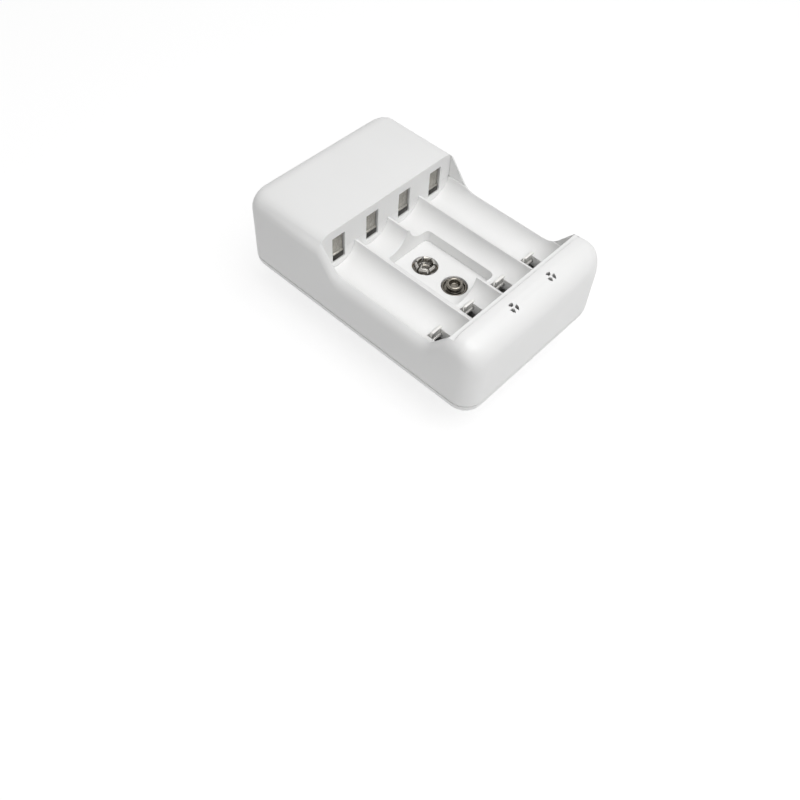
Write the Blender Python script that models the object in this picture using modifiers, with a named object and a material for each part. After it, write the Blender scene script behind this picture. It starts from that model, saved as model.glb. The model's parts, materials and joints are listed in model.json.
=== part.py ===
"""A plug-in charger for AA, AAA and 9 V cells, with a folding two-pin plug on a swivelling disc.

Frame: X across the bays, Y along them from the nose to the head, Z up. The charger lies face up on the
outer face of its folded plug, which is at Z = 0. Lengths are in metres.
"""
import math

import bmesh
import bpy
import numpy as np
from mathutils import Matrix, Vector

MM = 0.001
GAP = 0.3 * MM                  # between two pieces that touch
CUT = 1.0 * MM                  # how far a cutter runs past the face that it opens
SLIVER = 0.003 * MM             # points closer than this are one point

# Cells that the bays take
CELL_RADIUS = 7.25 * MM
CELL_SPACING = 0.5 * MM
CELL_CLEARANCE = 0.05 * MM
CELL_COUNT = 4
AAA_LENGTH = 44.5 * MM
AA_EXTRA = 6.0 * MM             # how much longer an AA cell is
AA_PLAY = 1.0 * MM

# Housing, heights above the back plane and distances from the nose end
CORNER_RADIUS = 6.5 * MM
TOP_EDGE_RADIUS = 5.5 * MM
BACK_EDGE_RADIUS = 4.0 * MM
WALL = 1.8 * MM
HEAD_HEIGHT = 30.1 * MM
HEAD_LENGTH = 33.3 * MM
HEAD_RAMP = 8.2 * MM
HEAD_WALL = 1.6 * MM
NOSE_FRONT_HEIGHT = 27.6 * MM
NOSE_CREST_HEIGHT = 29.4 * MM
NOSE_CREST = 7.5 * MM
NOSE_INNER_HEIGHT = 28.9 * MM
NOSE_FRONT_WALL = 2.4 * MM
NOSE_ROOF = 2.3 * MM
NOSE_VOID_CORNER = 3.0 * MM
NOSE_VOID_EDGE = 2.3 * MM
BASE_VOID_EDGE = 0.5 * MM
NOSE_INNER = 12.0 * MM
NOSE_RAMP = 7.0 * MM
RAMP_FILLET = 7.0 * MM
RAMP_LEAD = 0.2 * MM            # how far inside the bays the side walls' ramps meet the nose and the head
RIDGE_HEIGHT = 20.5 * MM
RIDGE_CLEAR = 0.05 * MM
TROUGH_END = 0.05 * MM          # how far short of the end walls the round of a trough stops
SIDE_WALL = 2.2 * MM
TROUGH_BOTTOM = 14.6 * MM
BAY_FLOOR = 1.8 * MM
TAB_FLOOR = 3.4 * MM
STEP_WIDTH = 1.9 * MM
STEP_DEPTH = 1.1 * MM

# Contact slots in the head wall
SLOT_WIDTH = 5.4 * MM
SLOT_BOTTOM = 17.0 * MM
SLOT_TOP = 26.9 * MM
STRIP_RECESS = 0.6 * MM
STRIP_WIDTH = 4.6 * MM
STRIP_FOLD = 1.3 * MM
STRIP_KICK = 0.45 * MM          # how far the strip's rib stands out towards the cell
STRIP_KICK_RISE = 0.8 * MM
SHEET = 0.4 * MM

# 9 V pocket
POCKET_WIDTH = 19.2 * MM
POCKET_LENGTH = 28.8 * MM
POCKET_FROM_TAB = 3.2 * MM
POCKET_FLOOR = 10.6 * MM
POCKET_FLOOR_WALL = 1.6 * MM
POCKET_CORNER = 1.5 * MM
SNAP_PITCH = 12.7 * MM
SNAP_HOLE_RADIUS = 4.4 * MM
SNAP_RADIUS = 4.1 * MM
SNAP_RISE = 1.3 * MM            # above the pocket's floor
SNAP_FLANGE = 0.5 * MM
SOCKET_WALL = 0.55 * MM
SOCKET_BORE = 3.0 * MM
SOCKET_SLIT = 0.4 * MM
STUD_WAIST = 2.35 * MM
STUD_HEAD = 2.85 * MM
STUD_RIM = 0.2 * MM

# Fold-down AAA contacts
TAB_ROD_RADIUS = 0.7 * MM
TAB_ROD_HEIGHT = 12.9 * MM
TAB_ROD_LENGTH = 6.4 * MM
TAB_WIDTH = 4.2 * MM
TAB_TOP = 17.2 * MM
TAB_LIP = 0.9 * MM
TAB_THICKNESS = 0.6 * MM
TAB_PRELOAD = 3.1 * MM          # how far an AAA cell pushes the tab's face back

# Negative AA contacts on the nose wall
BUTTON_WIDTH = 8.8 * MM
BUTTON_RADIUS = 2.6 * MM
BUTTON_RISE = 1.2 * MM
BUTTON_SHEET = 0.5 * MM

# Indicator lights
LIGHT_X = 8.9 * MM
LIGHT_DISTANCE = 5.7 * MM
LIGHT_HOLES = 3
LIGHT_HOLE_INNER = 0.5 * MM
LIGHT_HOLE_OUTER = 1.6 * MM
LIGHT_HOLE_SPREAD = 36.0        # degrees to each side of its middle
LED_RADIUS = 1.5 * MM
LED_HEIGHT = 4.2 * MM
LED_CLEARANCE = 2.0 * MM
LED_FLANGE = 0.3 * MM
LED_FLANGE_HEIGHT = 0.8 * MM

# Back cover
COVER_THICKNESS = 4.4 * MM
COVER_FLOOR = 2.0 * MM
LIP_HEIGHT = 1.8 * MM
LIP_THICKNESS = 1.2 * MM
LABEL_SIDE = 10.3 * MM
LABEL_START = 4.9 * MM
LABEL_MARGIN = 1.5 * MM
LABEL_CORNER = 2.0 * MM
LABEL_DEPTH = 0.4 * MM
CASE_SCREW_SIDE = 9.0 * MM
CASE_SCREW_END = 6.8 * MM
CASE_SCREW_LENGTH = 9.0 * MM
BOSS_RADIUS = 3.2 * MM
SCREW_RADIUS = 1.1 * MM
SCREW_HEAD_RADIUS = 1.9 * MM
SCREW_HEAD_HEIGHT = 1.3 * MM
COUNTERBORE = 2.6 * MM

# Swivelling disc
DISC_SIDE = 4.2 * MM
DISC_END = 3.3 * MM
DISC_THICKNESS = 2.0 * MM
DISC_RECESS = 0.2 * MM
DISC_RIM = 0.5 * MM
HUB_MARGIN = 2.6 * MM
HUB_HEIGHT = 5.6 * MM
RING_OVERLAP = 2.3 * MM
RING_BORE = 8.0 * MM
RING_THICKNESS = 1.2 * MM
RING_SCREW_X = 5.0 * MM
RING_SCREW_WALL = 2.4 * MM
RING_SCREW_RADIUS = 0.9 * MM
RING_SCREW_HEAD = 1.7 * MM
RING_SCREW_HEIGHT = 1.0 * MM

# Folding plug, depths below the back plane
AXIS_DEPTH = 5.0 * MM
PLUG_DEPTH = 13.8 * MM
PLUG_LIFT = 0.5 * MM
PLUG_WALL = 1.1 * MM
PLUG_REACH = 26.0 * MM
PLUG_EDGE = 0.8 * MM
PLUG_TIP_ROUND = 3.0 * MM
PLUG_FOOT_ROUND = 1.4 * MM
BARREL_WIDTH = 36.8 * MM
BARREL_STEP = 0.1 * MM
EAR_THICKNESS = 1.9 * MM
EAR_GAP = 0.9 * MM
EAR_FOOT = 13.4 * MM
EAR_LIFT = 0.2 * MM
MIDDLE_KNUCKLE = 14.0 * MM
KNUCKLE_GAP = 0.5 * MM
NOTCH_CLEAR = 1.8 * MM
WELL_GAP = 0.4 * MM
HINGE_PIN_RADIUS = 1.2 * MM
HINGE_PIN_BURY = 2.9 * MM
SET_SCREW_END = 3.8 * MM        # from the barrel's end
SET_SCREW_ANGLE = math.radians(20)
PLUG_SCREW_INSET = 4.0 * MM
PLUG_COVER_SIDE = 1.3 * MM
PLUG_COVER_INSET = 2.5 * MM
PLUG_COVER_END = 0.7 * MM
PLUG_COVER_THICKNESS = 1.4 * MM

# Mains pins
PIN_SPACING = 18.6 * MM
PIN_DEPTH = 6.5 * MM
PIN_RADIUS = 2.0 * MM
PIN_LENGTH = 19.0 * MM
PIN_CORE_RADIUS = 1.3 * MM
PIN_BURY = 6.0 * MM
SLEEVE_LENGTH = 10.5 * MM
SLEEVE_WALL = 0.4 * MM

# Electronics
BOARD_THICKNESS = 1.6 * MM
BOARD_HEIGHT = 9.0 * MM
BOARD_SIDE = 4.2 * MM
BOARD_FRONT = 2.1 * MM
BOARD_END = 1.3 * MM
CONTACT_FOOT = 4.0 * MM
SNAP_BOARD_WIDTH = 16.0 * MM
SNAP_BOARD_LEAD = 2.6 * MM      # from the board's front edge to its front posts
SNAP_BOARD_CLEAR = 0.5442 * MM  # to the circle that the ring screws' heads sweep
SNAP_BOARD_THICKNESS = 0.8 * MM
SNAP_POST_CLEAR = 1.0 * MM      # from the tray's step to a front post
SNAP_POST_COLLAR = 0.5 * MM     # from the hub's collar to a rear post
LAMP_BOSS_CLEAR = 1.05 * MM       # between a lamp's flange and the boss beside it
POST_RADIUS = 1.7 * MM
POST_INSET = 2.55 * MM           # from a board's edge to a post's middle
CORE_WIDTH = 24.0 * MM
CORE_DEPTH = 12.0 * MM
CORE_CLEAR = 3.4 * MM           # to the head's ceiling
CORE_LEG = 6.0 * MM
CORE_YOKE = 2.8 * MM
CORE_SIDE = 4.0 * MM
CORE_INSET = 10.4 * MM
WINDING_BULGE = 2.0 * MM
CAPACITOR_RADIUS = 4.0 * MM
CAPACITOR_HEIGHT = 11.0 * MM
CAPACITOR_GAP = 3.0 * MM
CAPACITOR_EDGE = 0.5 * MM

# Colours
WHITE = (0.86, 0.86, 0.85)
INNER = (0.75, 0.75, 0.73)
NICKEL = (0.70, 0.69, 0.66)
ZINC = (0.62, 0.62, 0.62)
GREEN = (0.05, 0.20, 0.09)
BROWN = (0.30, 0.22, 0.10)
RED = (0.75, 0.08, 0.05)
IRON = (0.18, 0.18, 0.19)
COPPER = (0.55, 0.28, 0.08)
SLEEVE = (0.06, 0.07, 0.12)

# Worked out from the values above
CELL_PITCH = 2 * CELL_RADIUS + CELL_SPACING
BODY_WIDTH = CELL_COUNT * CELL_PITCH + 2 * SIDE_WALL
HEAD_FRONT = NOSE_INNER + AAA_LENGTH + AA_EXTRA + AA_PLAY
BODY_LENGTH = HEAD_FRONT + HEAD_LENGTH
TROUGH_RADIUS = CELL_RADIUS + CELL_CLEARANCE
CELL_AXIS = TROUGH_BOTTOM + TROUGH_RADIUS
BAY_HALF = BODY_WIDTH / 2 - SIDE_WALL
STRIP_FACE = HEAD_FRONT + STRIP_RECESS
TAB_DISTANCE = STRIP_FACE - AAA_LENGTH + TAB_PRELOAD - TAB_THICKNESS / 2
TAB_OPENING_END = TAB_DISTANCE + TAB_ROD_RADIUS + 2 * GAP
POCKET_MIDDLE = TAB_DISTANCE + POCKET_FROM_TAB + POCKET_LENGTH / 2
NOSE_CEILING = NOSE_CREST_HEIGHT - NOSE_ROOF
LED_TOP = NOSE_CEILING - LED_CLEARANCE
LAMP_BOSS_X = LIGHT_X + LED_RADIUS + LED_FLANGE + LAMP_BOSS_CLEAR + POST_RADIUS
LED_BOARD_WIDTH = 2 * (LAMP_BOSS_X + POST_INSET)
LED_BOARD_HEIGHT = LED_TOP - LED_HEIGHT - GAP - BOARD_THICKNESS
PARTING = COVER_THICKNESS + GAP
DISC_RADIUS = BODY_WIDTH / 2 - DISC_SIDE
DISC_CENTRE = BODY_LENGTH - DISC_END - DISC_RADIUS
DISC_TOP = DISC_RECESS + DISC_THICKNESS
WEB_BOTTOM = DISC_TOP + GAP
HUB_RADIUS = BARREL_WIDTH / 2 + HUB_MARGIN
RING_RADIUS = HUB_RADIUS + RING_OVERLAP
COVER_HOLLOW_END = DISC_CENTRE - DISC_RADIUS - 2 * WALL
LABEL_WIDTH = BODY_WIDTH - 2 * LABEL_SIDE
LABEL_END = DISC_CENTRE - DISC_RADIUS - LABEL_MARGIN
CASE_SCREW_X = BODY_WIDTH / 2 - CASE_SCREW_SIDE
CASE_SCREW_DISTANCE = BODY_LENGTH - CASE_SCREW_END
BARREL_RADIUS = PLUG_DEPTH - AXIS_DEPTH
SET_SCREW_X = BARREL_WIDTH / 2 - SET_SCREW_END
EAR_RADIUS = BARREL_RADIUS - EAR_LIFT
EAR_INNER = BARREL_WIDTH / 2 + EAR_GAP
NOTCH_RADIUS = EAR_RADIUS + NOTCH_CLEAR
WELL_RADIUS = BARREL_RADIUS + WELL_GAP
WELL_HALF = math.sqrt(WELL_RADIUS ** 2 - (AXIS_DEPTH + DISC_RECESS) ** 2)
RING_SCREW_Y = WELL_HALF + RING_SCREW_WALL + RING_SCREW_RADIUS + GAP
PLUG_WIDTH = PIN_SPACING + 2 * (PIN_RADIUS + PLUG_WALL)
PLUG_FRONT = DISC_CENTRE - PLUG_REACH
PLUG_SCREW_DISTANCE = PLUG_FRONT + PLUG_SCREW_INSET
PLUG_COVER_WIDTH = PIN_SPACING - 2 * (PIN_RADIUS + PLUG_COVER_SIDE)
PLUG_COVER_START = PLUG_FRONT + PLUG_COVER_INSET
PLUG_COVER_LENGTH = PLUG_REACH - PLUG_COVER_INSET - NOTCH_RADIUS - PLUG_COVER_END
BOARD_WIDTH = BODY_WIDTH - 2 * BOARD_SIDE
BOARD_START = HEAD_FRONT + HEAD_WALL + BOARD_FRONT
BOARD_LENGTH = CASE_SCREW_DISTANCE - BOSS_RADIUS - BOARD_END - BOARD_START
BOARD_TOP = BOARD_HEIGHT + BOARD_THICKNESS
SNAP_POST_START = COVER_HOLLOW_END - SNAP_POST_CLEAR - POST_RADIUS
SNAP_POST_END = DISC_CENTRE - RING_RADIUS - SNAP_POST_COLLAR - POST_RADIUS
SNAP_BOARD_START = SNAP_POST_START - SNAP_BOARD_LEAD
SNAP_BOARD_END = DISC_CENTRE - math.hypot(RING_SCREW_X, RING_SCREW_Y) - RING_SCREW_HEAD - SNAP_BOARD_CLEAR
SNAP_BOARD_HEIGHT = POCKET_FLOOR - POCKET_FLOOR_WALL - 2 * GAP - SNAP_BOARD_THICKNESS
CORE_DISTANCE = BOARD_START + CORE_INSET
CORE_HEIGHT = HEAD_HEIGHT - WALL - CORE_CLEAR - BOARD_TOP - GAP
CAPACITOR_X = CORE_WIDTH / 2 + CAPACITOR_RADIUS + CAPACITOR_GAP

PARTS = "battery_charger"
CUTTERS = "cutters"


def along(distance):
    """World Y of a distance from the nose end."""
    return distance - BODY_LENGTH / 2


def above(height):
    """World Z of a height above the back plane."""
    return height + PLUG_DEPTH


def place(x, distance, height):
    """World point from a side offset, a distance from the nose and a height above the back plane."""
    return Vector((x, along(distance), above(height)))


def bay_x(index):
    """World X of a bay's middle, bay 0 at the left."""
    return (index - (CELL_COUNT - 1) / 2) * CELL_PITCH


def collection(name):
    """The named collection, made when it is missing."""
    found = bpy.data.collections.get(name)
    if found is None:
        found = bpy.data.collections.new(name)
        bpy.context.scene.collection.children.link(found)
    return found


def finish(name, colour, roughness, metallic=0.0):
    """A plain material."""
    material = bpy.data.materials.new(name)
    material.use_nodes = True
    shader = material.node_tree.nodes["Principled BSDF"]
    shader.inputs["Base Color"].default_value = (*colour, 1.0)
    shader.inputs["Roughness"].default_value = roughness
    shader.inputs["Metallic"].default_value = metallic
    return material


def add_mesh(name, bm):
    """Links a new object that holds the given mesh data, among the cutters until it is dressed."""
    bmesh.ops.recalc_face_normals(bm, faces=bm.faces)
    mesh = bpy.data.meshes.new(name)
    bm.to_mesh(mesh)
    bm.free()
    piece = bpy.data.objects.new(name, mesh)
    collection(CUTTERS).objects.link(piece)
    piece.hide_render = True
    piece.display_type = "WIRE"
    return piece


def dress(piece, colour, roughness, metallic=0.0, sharp=35):
    """Makes a shape one of the object's parts: moves it to their collection and gives it its finish."""
    collection(CUTTERS).objects.unlink(piece)
    collection(PARTS).objects.link(piece)
    piece.hide_render = False
    piece.display_type = "TEXTURED"
    piece.data.materials.clear()
    piece.data.materials.append(finish(piece.name, colour, roughness, metallic))
    piece.data.shade_smooth()
    piece.data.set_sharp_from_angle(angle=math.radians(sharp))
    return piece


def box(name, low, high):
    """A block between two corners."""
    low, high = Vector(low), Vector(high)
    bm = bmesh.new()
    bmesh.ops.create_cube(bm, size=1.0)
    bmesh.ops.scale(bm, vec=high - low, verts=bm.verts)
    bmesh.ops.translate(bm, vec=(low + high) / 2, verts=bm.verts)
    return add_mesh(name, bm)


def cylinder(name, radius, start, end, sides=20):
    """A round bar between two points."""
    start, end = Vector(start), Vector(end)
    bm = bmesh.new()
    bmesh.ops.create_cone(bm, cap_ends=True, segments=sides, radius1=radius, radius2=radius,
                          depth=(end - start).length)
    turn = (end - start).to_track_quat("Z", "Y").to_matrix().to_4x4()
    bmesh.ops.transform(bm, matrix=Matrix.Translation((start + end) / 2) @ turn, verts=bm.verts)
    return add_mesh(name, bm)


def rounded_rectangle(low, high, radius, steps=6):
    """Corner points of a rectangle with round corners, counter-clockwise."""
    points = []
    corners = ((high[0], high[1], 0), (low[0], high[1], 90), (low[0], low[1], 180), (high[0], low[1], 270))
    for x, y, start in corners:
        cx = x - radius if x == high[0] else x + radius
        cy = y - radius if y == high[1] else y + radius
        for angle in np.radians(np.linspace(start, start + 90, steps + 1)):
            points.append((cx + radius * math.cos(angle), cy + radius * math.sin(angle)))
    return points


def outline(name, points, thickness, matrix):
    """A flat outline given a thickness, centred on its plane, as a closed mesh."""
    curve = bpy.data.curves.new(name, "CURVE")
    curve.dimensions = "2D"
    curve.fill_mode = "BOTH"
    curve.extrude = thickness / 2
    spline = curve.splines.new("POLY")
    spline.points.add(len(points) - 1)
    for point, (x, y) in zip(spline.points, points):
        point.co = (x, y, 0.0, 1.0)
    spline.use_cyclic_u = True
    drawn = bpy.data.objects.new(name, curve)
    bpy.context.scene.collection.objects.link(drawn)
    drawn.matrix_world = matrix
    bpy.context.view_layer.update()
    mesh = bpy.data.meshes.new_from_object(drawn.evaluated_get(bpy.context.evaluated_depsgraph_get()))
    bm = bmesh.new()
    bm.from_mesh(mesh)
    bmesh.ops.remove_doubles(bm, verts=bm.verts, dist=0.001 * MM)
    bmesh.ops.dissolve_limit(bm, angle_limit=math.radians(0.5), verts=bm.verts, edges=bm.edges)
    bmesh.ops.transform(bm, matrix=matrix, verts=bm.verts)
    bpy.data.objects.remove(drawn)
    bpy.data.curves.remove(curve)
    bpy.data.meshes.remove(mesh)
    return add_mesh(name, bm)


def plate(name, points, low, high):
    """A plan outline in world X and Y, between two heights above the back plane."""
    middle = Matrix.Translation((0, 0, above((low + high) / 2)))
    return outline(name, points, high - low, middle)


def side_prism(name, points, low_x, high_x):
    """A side outline of (distance, height) points, between two world X values."""
    turn = Matrix(((0, 0, 1, (low_x + high_x) / 2), (1, 0, 0, 0), (0, 1, 0, 0), (0, 0, 0, 1)))
    return outline(name, [(along(d), above(h)) for d, h in points], high_x - low_x, turn)


def turned(name, profile, origin, direction=(0, 0, 1), sides=32):
    """A profile of (radius, height) points, top to bottom, turned about an axis through the origin."""
    bm = bmesh.new()
    verts = [bm.verts.new((radius, 0, height)) for radius, height in profile]
    if profile[0] == profile[-1]:
        bm.verts.remove(verts[-1])
        verts[-1] = verts[0]
    for first, second in zip(verts, verts[1:]):
        bm.edges.new((first, second))
    piece = add_mesh(name, bm)
    screw = piece.modifiers.new("turn", "SCREW")
    screw.steps = screw.render_steps = sides
    screw.use_merge_vertices = True
    screw.merge_threshold = 0.01 * MM
    apply_modifiers(piece)
    turn = Vector(direction).to_track_quat("Z", "Y").to_matrix().to_4x4()
    piece.data.transform(Matrix.Translation(origin) @ turn)
    return piece


def apply_modifiers(piece):
    """Replaces a shape's mesh by the one that its modifiers make."""
    bpy.context.view_layer.update()
    evaluated = piece.evaluated_get(bpy.context.evaluated_depsgraph_get())
    mesh = bpy.data.meshes.new_from_object(evaluated)
    piece.modifiers.clear()
    piece.data = mesh


def combine(piece, operation, *others):
    """Joins the other shapes to a piece, or cuts them out of it, one after the other."""
    for other in others:
        step = piece.modifiers.new(other.name, "BOOLEAN")
        step.operation = operation
        step.solver = "EXACT"
        step.object = other
        apply_modifiers(piece)
        weld(piece)
        bpy.data.objects.remove(other)
    return piece


def weld(piece):
    """Merges points closer than a few microns and drops the slivers between them."""
    bm = bmesh.new()
    bm.from_mesh(piece.data)
    bmesh.ops.remove_doubles(bm, verts=bm.verts, dist=SLIVER)
    bmesh.ops.dissolve_degenerate(bm, dist=SLIVER, edges=bm.edges)
    bm.to_mesh(piece.data)
    bm.free()


def join(piece, *others):
    """Joins shapes to a piece."""
    return combine(piece, "UNION", *others)


def cut(piece, *others):
    """Cuts shapes out of a piece."""
    return combine(piece, "DIFFERENCE", *others)


def soften(piece, width, segments=2, angle=40):
    """Rounds every sharp edge of a piece."""
    bevel = piece.modifiers.new("edges", "BEVEL")
    bevel.width = width
    bevel.segments = segments
    bevel.limit_method = "ANGLE"
    bevel.angle_limit = math.radians(angle)
    bevel.harden_normals = False
    apply_modifiers(piece)
    return piece


def fillet(before, corner, after, radius, steps=5):
    """Points of the arc that rounds a corner of an outline."""
    before, corner, after = (np.array(p) for p in (before, corner, after))
    back = (before - corner) / np.linalg.norm(before - corner)
    ahead = (after - corner) / np.linalg.norm(after - corner)
    half = math.acos(float(np.clip(back @ ahead, -1, 1))) / 2
    middle = (back + ahead) / np.linalg.norm(back + ahead)
    centre = corner + middle * radius / math.sin(half)
    first = corner + back * radius / math.tan(half) - centre
    last = corner + ahead * radius / math.tan(half) - centre
    start = math.atan2(first[1], first[0])
    sweep = (math.atan2(last[1], last[0]) - start + math.pi) % (2 * math.pi) - math.pi
    angles = start + sweep * np.linspace(0, 1, steps + 1)
    return [(centre[0] + radius * math.cos(a), centre[1] + radius * math.sin(a)) for a in angles]


def arc(centre, radius, start, end, steps):
    """Points on an arc, angles in degrees."""
    return [(centre[0] + radius * math.cos(a), centre[1] + radius * math.sin(a))
            for a in np.radians(np.linspace(start, end, steps + 1))]


def bent_sheet(path, thickness):
    """Outline of a thin sheet that follows a path, half its thickness to each side."""
    path = np.array(path)
    run = np.diff(path, axis=0)
    run /= np.linalg.norm(run, axis=1)[:, None]
    sides = np.stack([-run[:, 1], run[:, 0]], axis=1)
    middle = (sides[:-1] + sides[1:]) / (1 + np.sum(sides[:-1] * sides[1:], axis=1))[:, None]
    offset = np.vstack([sides[:1], middle, sides[-1:]]) * thickness / 2
    return [tuple(p) for p in np.vstack([path + offset, (path - offset)[::-1]])]


def round_over(distance, radius):
    """How far a rounded end has fallen, or drawn in, at a distance from that end."""
    short = min(max(radius - distance, 0.0), radius)
    return radius - math.sqrt(radius ** 2 - short ** 2)


def top_line():
    """Side view of the housing's top: crowned nose, ramp, low side wall, ramp and flat head."""
    nose_foot = (NOSE_INNER + NOSE_RAMP, RIDGE_HEIGHT)
    head_foot = (HEAD_FRONT - HEAD_RAMP, RIDGE_HEIGHT)
    crest = (NOSE_INNER + RAMP_LEAD, NOSE_INNER_HEIGHT)
    brow = (HEAD_FRONT - RAMP_LEAD, HEAD_HEIGHT)
    return [(0.0, NOSE_FRONT_HEIGHT), (NOSE_CREST, NOSE_CREST_HEIGHT), crest,
            *fillet(crest, nose_foot, head_foot, RAMP_FILLET),
            *fillet(nose_foot, head_foot, brow, RAMP_FILLET), brow, (BODY_LENGTH, HEAD_HEIGHT)]


def housing_form(name, edge_steps=5):
    """Loft of rounded sections along Y. Each section is as wide as the plan and as high as the side view.

    The plan narrows at both ends by its corner radius, and the top falls there by its edge radius.
    """
    line = np.array(top_line())
    swing = 1 - np.cos(np.radians(np.linspace(0, 90, 8)))
    ends = np.concatenate([CORNER_RADIUS * swing, BODY_LENGTH - CORNER_RADIUS * swing])
    stations = np.unique(np.round(np.concatenate([line[:, 0], ends]), 7))
    bm = bmesh.new()
    rings = []
    for d in stations:
        inset = round_over(d, CORNER_RADIUS) + round_over(BODY_LENGTH - d, CORNER_RADIUS)
        fall = round_over(d, TOP_EDGE_RADIUS) + round_over(BODY_LENGTH - d, TOP_EDGE_RADIUS)
        half = BODY_WIDTH / 2 - inset
        top = float(np.interp(d, line[:, 0], line[:, 1])) - fall
        radius = TOP_EDGE_RADIUS
        right = [(half, PARTING)] + arc((half - radius, top - radius), radius, 0, 90, edge_steps)
        section = right + [(-x, h) for x, h in reversed(right)]
        rings.append([bm.verts.new(place(x, d, h)) for x, h in section])
    count = len(rings[0])
    for ring, following in zip(rings, rings[1:]):
        for i in range(count):
            j = (i + 1) % count
            bm.faces.new((ring[i], ring[j], following[j], following[i]))
    bm.faces.new(rings[0])
    bm.faces.new(rings[-1])
    return add_mesh(name, bm)


def domed_void(name, start, end, top, corner, edge):
    """A cavity with round upright corners and a rounded ceiling, open below the parting plane."""
    half = BODY_WIDTH / 2 - WALL
    void = plate(name, rounded_rectangle((-half, along(start)), (half, along(end)), corner, 3),
                 PARTING - CUT, top)
    bm = bmesh.new()
    bm.from_mesh(void.data)
    ceiling = [e for e in bm.edges if min(v.co.z for v in e.verts) > above(top) - 0.01 * MM]
    bmesh.ops.bevel(bm, geom=ceiling, offset=edge, segments=2, profile=0.5, affect="EDGES")
    bm.to_mesh(void.data)
    bm.free()
    return void


def make_top_housing():
    """The upper half: head block, nose, four troughs with ridges, the 9 V pocket and the slots."""
    housing = housing_form("top_housing")
    cut_light_holes(housing)
    inner_corner = CORNER_RADIUS - WALL
    half = BODY_WIDTH / 2 - WALL
    cut(housing,
        domed_void("base_void", WALL, BODY_LENGTH - WALL, TROUGH_BOTTOM - TAB_FLOOR, inner_corner,
                   BASE_VOID_EDGE),
        domed_void("head_void", HEAD_FRONT + HEAD_WALL, BODY_LENGTH - WALL, HEAD_HEIGHT - WALL,
                   inner_corner, TOP_EDGE_RADIUS - WALL),
        domed_void("nose_void", NOSE_FRONT_WALL, NOSE_INNER - WALL, NOSE_CEILING, NOSE_VOID_CORNER,
                   NOSE_VOID_EDGE),
        box("bay_void", place(-half, TAB_OPENING_END + POCKET_FLOOR_WALL, PARTING),
            place(half, HEAD_FRONT + HEAD_WALL + CUT, TROUGH_BOTTOM - BAY_FLOOR)))
    well_half = POCKET_WIDTH / 2 + POCKET_FLOOR_WALL
    well_length = POCKET_LENGTH / 2 + POCKET_FLOOR_WALL
    well_bottom = POCKET_FLOOR - POCKET_FLOOR_WALL
    join(housing, box("well", place(-well_half, POCKET_MIDDLE - well_length, well_bottom),
                      place(well_half, POCKET_MIDDLE + well_length, TROUGH_BOTTOM - BAY_FLOOR / 2)))
    for side in (-1, 1):
        foot = place(side * CASE_SCREW_X, CASE_SCREW_DISTANCE, PARTING)
        roof = Vector((0, 0, HEAD_HEIGHT - WALL / 2 - PARTING))
        join(housing, cylinder("boss", BOSS_RADIUS, foot, foot + roof))
        cut(housing, cylinder("pilot", SCREW_RADIUS + GAP, foot - Vector((0, 0, CUT)),
                              foot + Vector((0, 0, HEAD_HEIGHT / 3)), 16))
    add_lamp_bosses(housing)
    cut_bays(housing)
    cut_pocket(housing)
    return dress(housing, WHITE, 0.38)


def add_lamp_bosses(housing):
    """Two round bosses under the nose's roof, which hold the lamps' board."""
    for side in (-1, 1):
        x = side * LAMP_BOSS_X
        foot = place(x, LIGHT_DISTANCE + GAP, LED_BOARD_HEIGHT + BOARD_THICKNESS + GAP)
        join(housing, cylinder("lamp_boss", POST_RADIUS, foot,
                               place(x, LIGHT_DISTANCE + GAP, NOSE_CEILING + NOSE_ROOF / 3), 12))


def cut_bays(housing):
    """The space over the ridges, the round troughs, and each bay's slot, contact recess and tab opening."""
    step = NOSE_INNER - STEP_WIDTH
    tread = NOSE_INNER_HEIGHT - STEP_DEPTH
    sky = HEAD_HEIGHT + CUT
    floor = RIDGE_HEIGHT + RIDGE_CLEAR
    space = [(NOSE_INNER, floor), (HEAD_FRONT, floor), (HEAD_FRONT, sky), (step, sky), (step, tread),
             (NOSE_INNER, tread)]
    bays = side_prism("bays", space, -BAY_HALF, BAY_HALF)
    for i in range(CELL_COUNT):
        join(bays, cylinder("trough", TROUGH_RADIUS, place(bay_x(i), NOSE_INNER + TROUGH_END, CELL_AXIS),
                            place(bay_x(i), HEAD_FRONT - TROUGH_END, CELL_AXIS), 40))
    cut(housing, bays)
    for i in range(CELL_COUNT):
        x = bay_x(i)
        cut(housing, box("slot", place(x - SLOT_WIDTH / 2, HEAD_FRONT - CUT, SLOT_BOTTOM),
                         place(x + SLOT_WIDTH / 2, HEAD_FRONT + HEAD_WALL + CUT, SLOT_TOP)))
        recess = BUTTON_WIDTH / 2 + GAP
        cut(housing, box("recess", place(x - recess, NOSE_INNER - BUTTON_SHEET - GAP, CELL_AXIS - recess),
                         place(x + recess, NOSE_INNER + CUT, CELL_AXIS + recess)))
        reach = TAB_TOP - TAB_ROD_HEIGHT + 2 * GAP
        side = TAB_WIDTH / 2 + GAP
        rod_end = TAB_ROD_LENGTH / 2 + GAP
        cut(housing, box("tab_opening", place(x - side, TAB_DISTANCE - reach, PARTING),
                         place(x + side, TAB_OPENING_END, CELL_AXIS)),
            cylinder("rod_seat", TAB_ROD_RADIUS + GAP, place(x - rod_end, TAB_DISTANCE, TAB_ROD_HEIGHT),
                     place(x + rod_end, TAB_DISTANCE, TAB_ROD_HEIGHT), 12))


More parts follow.
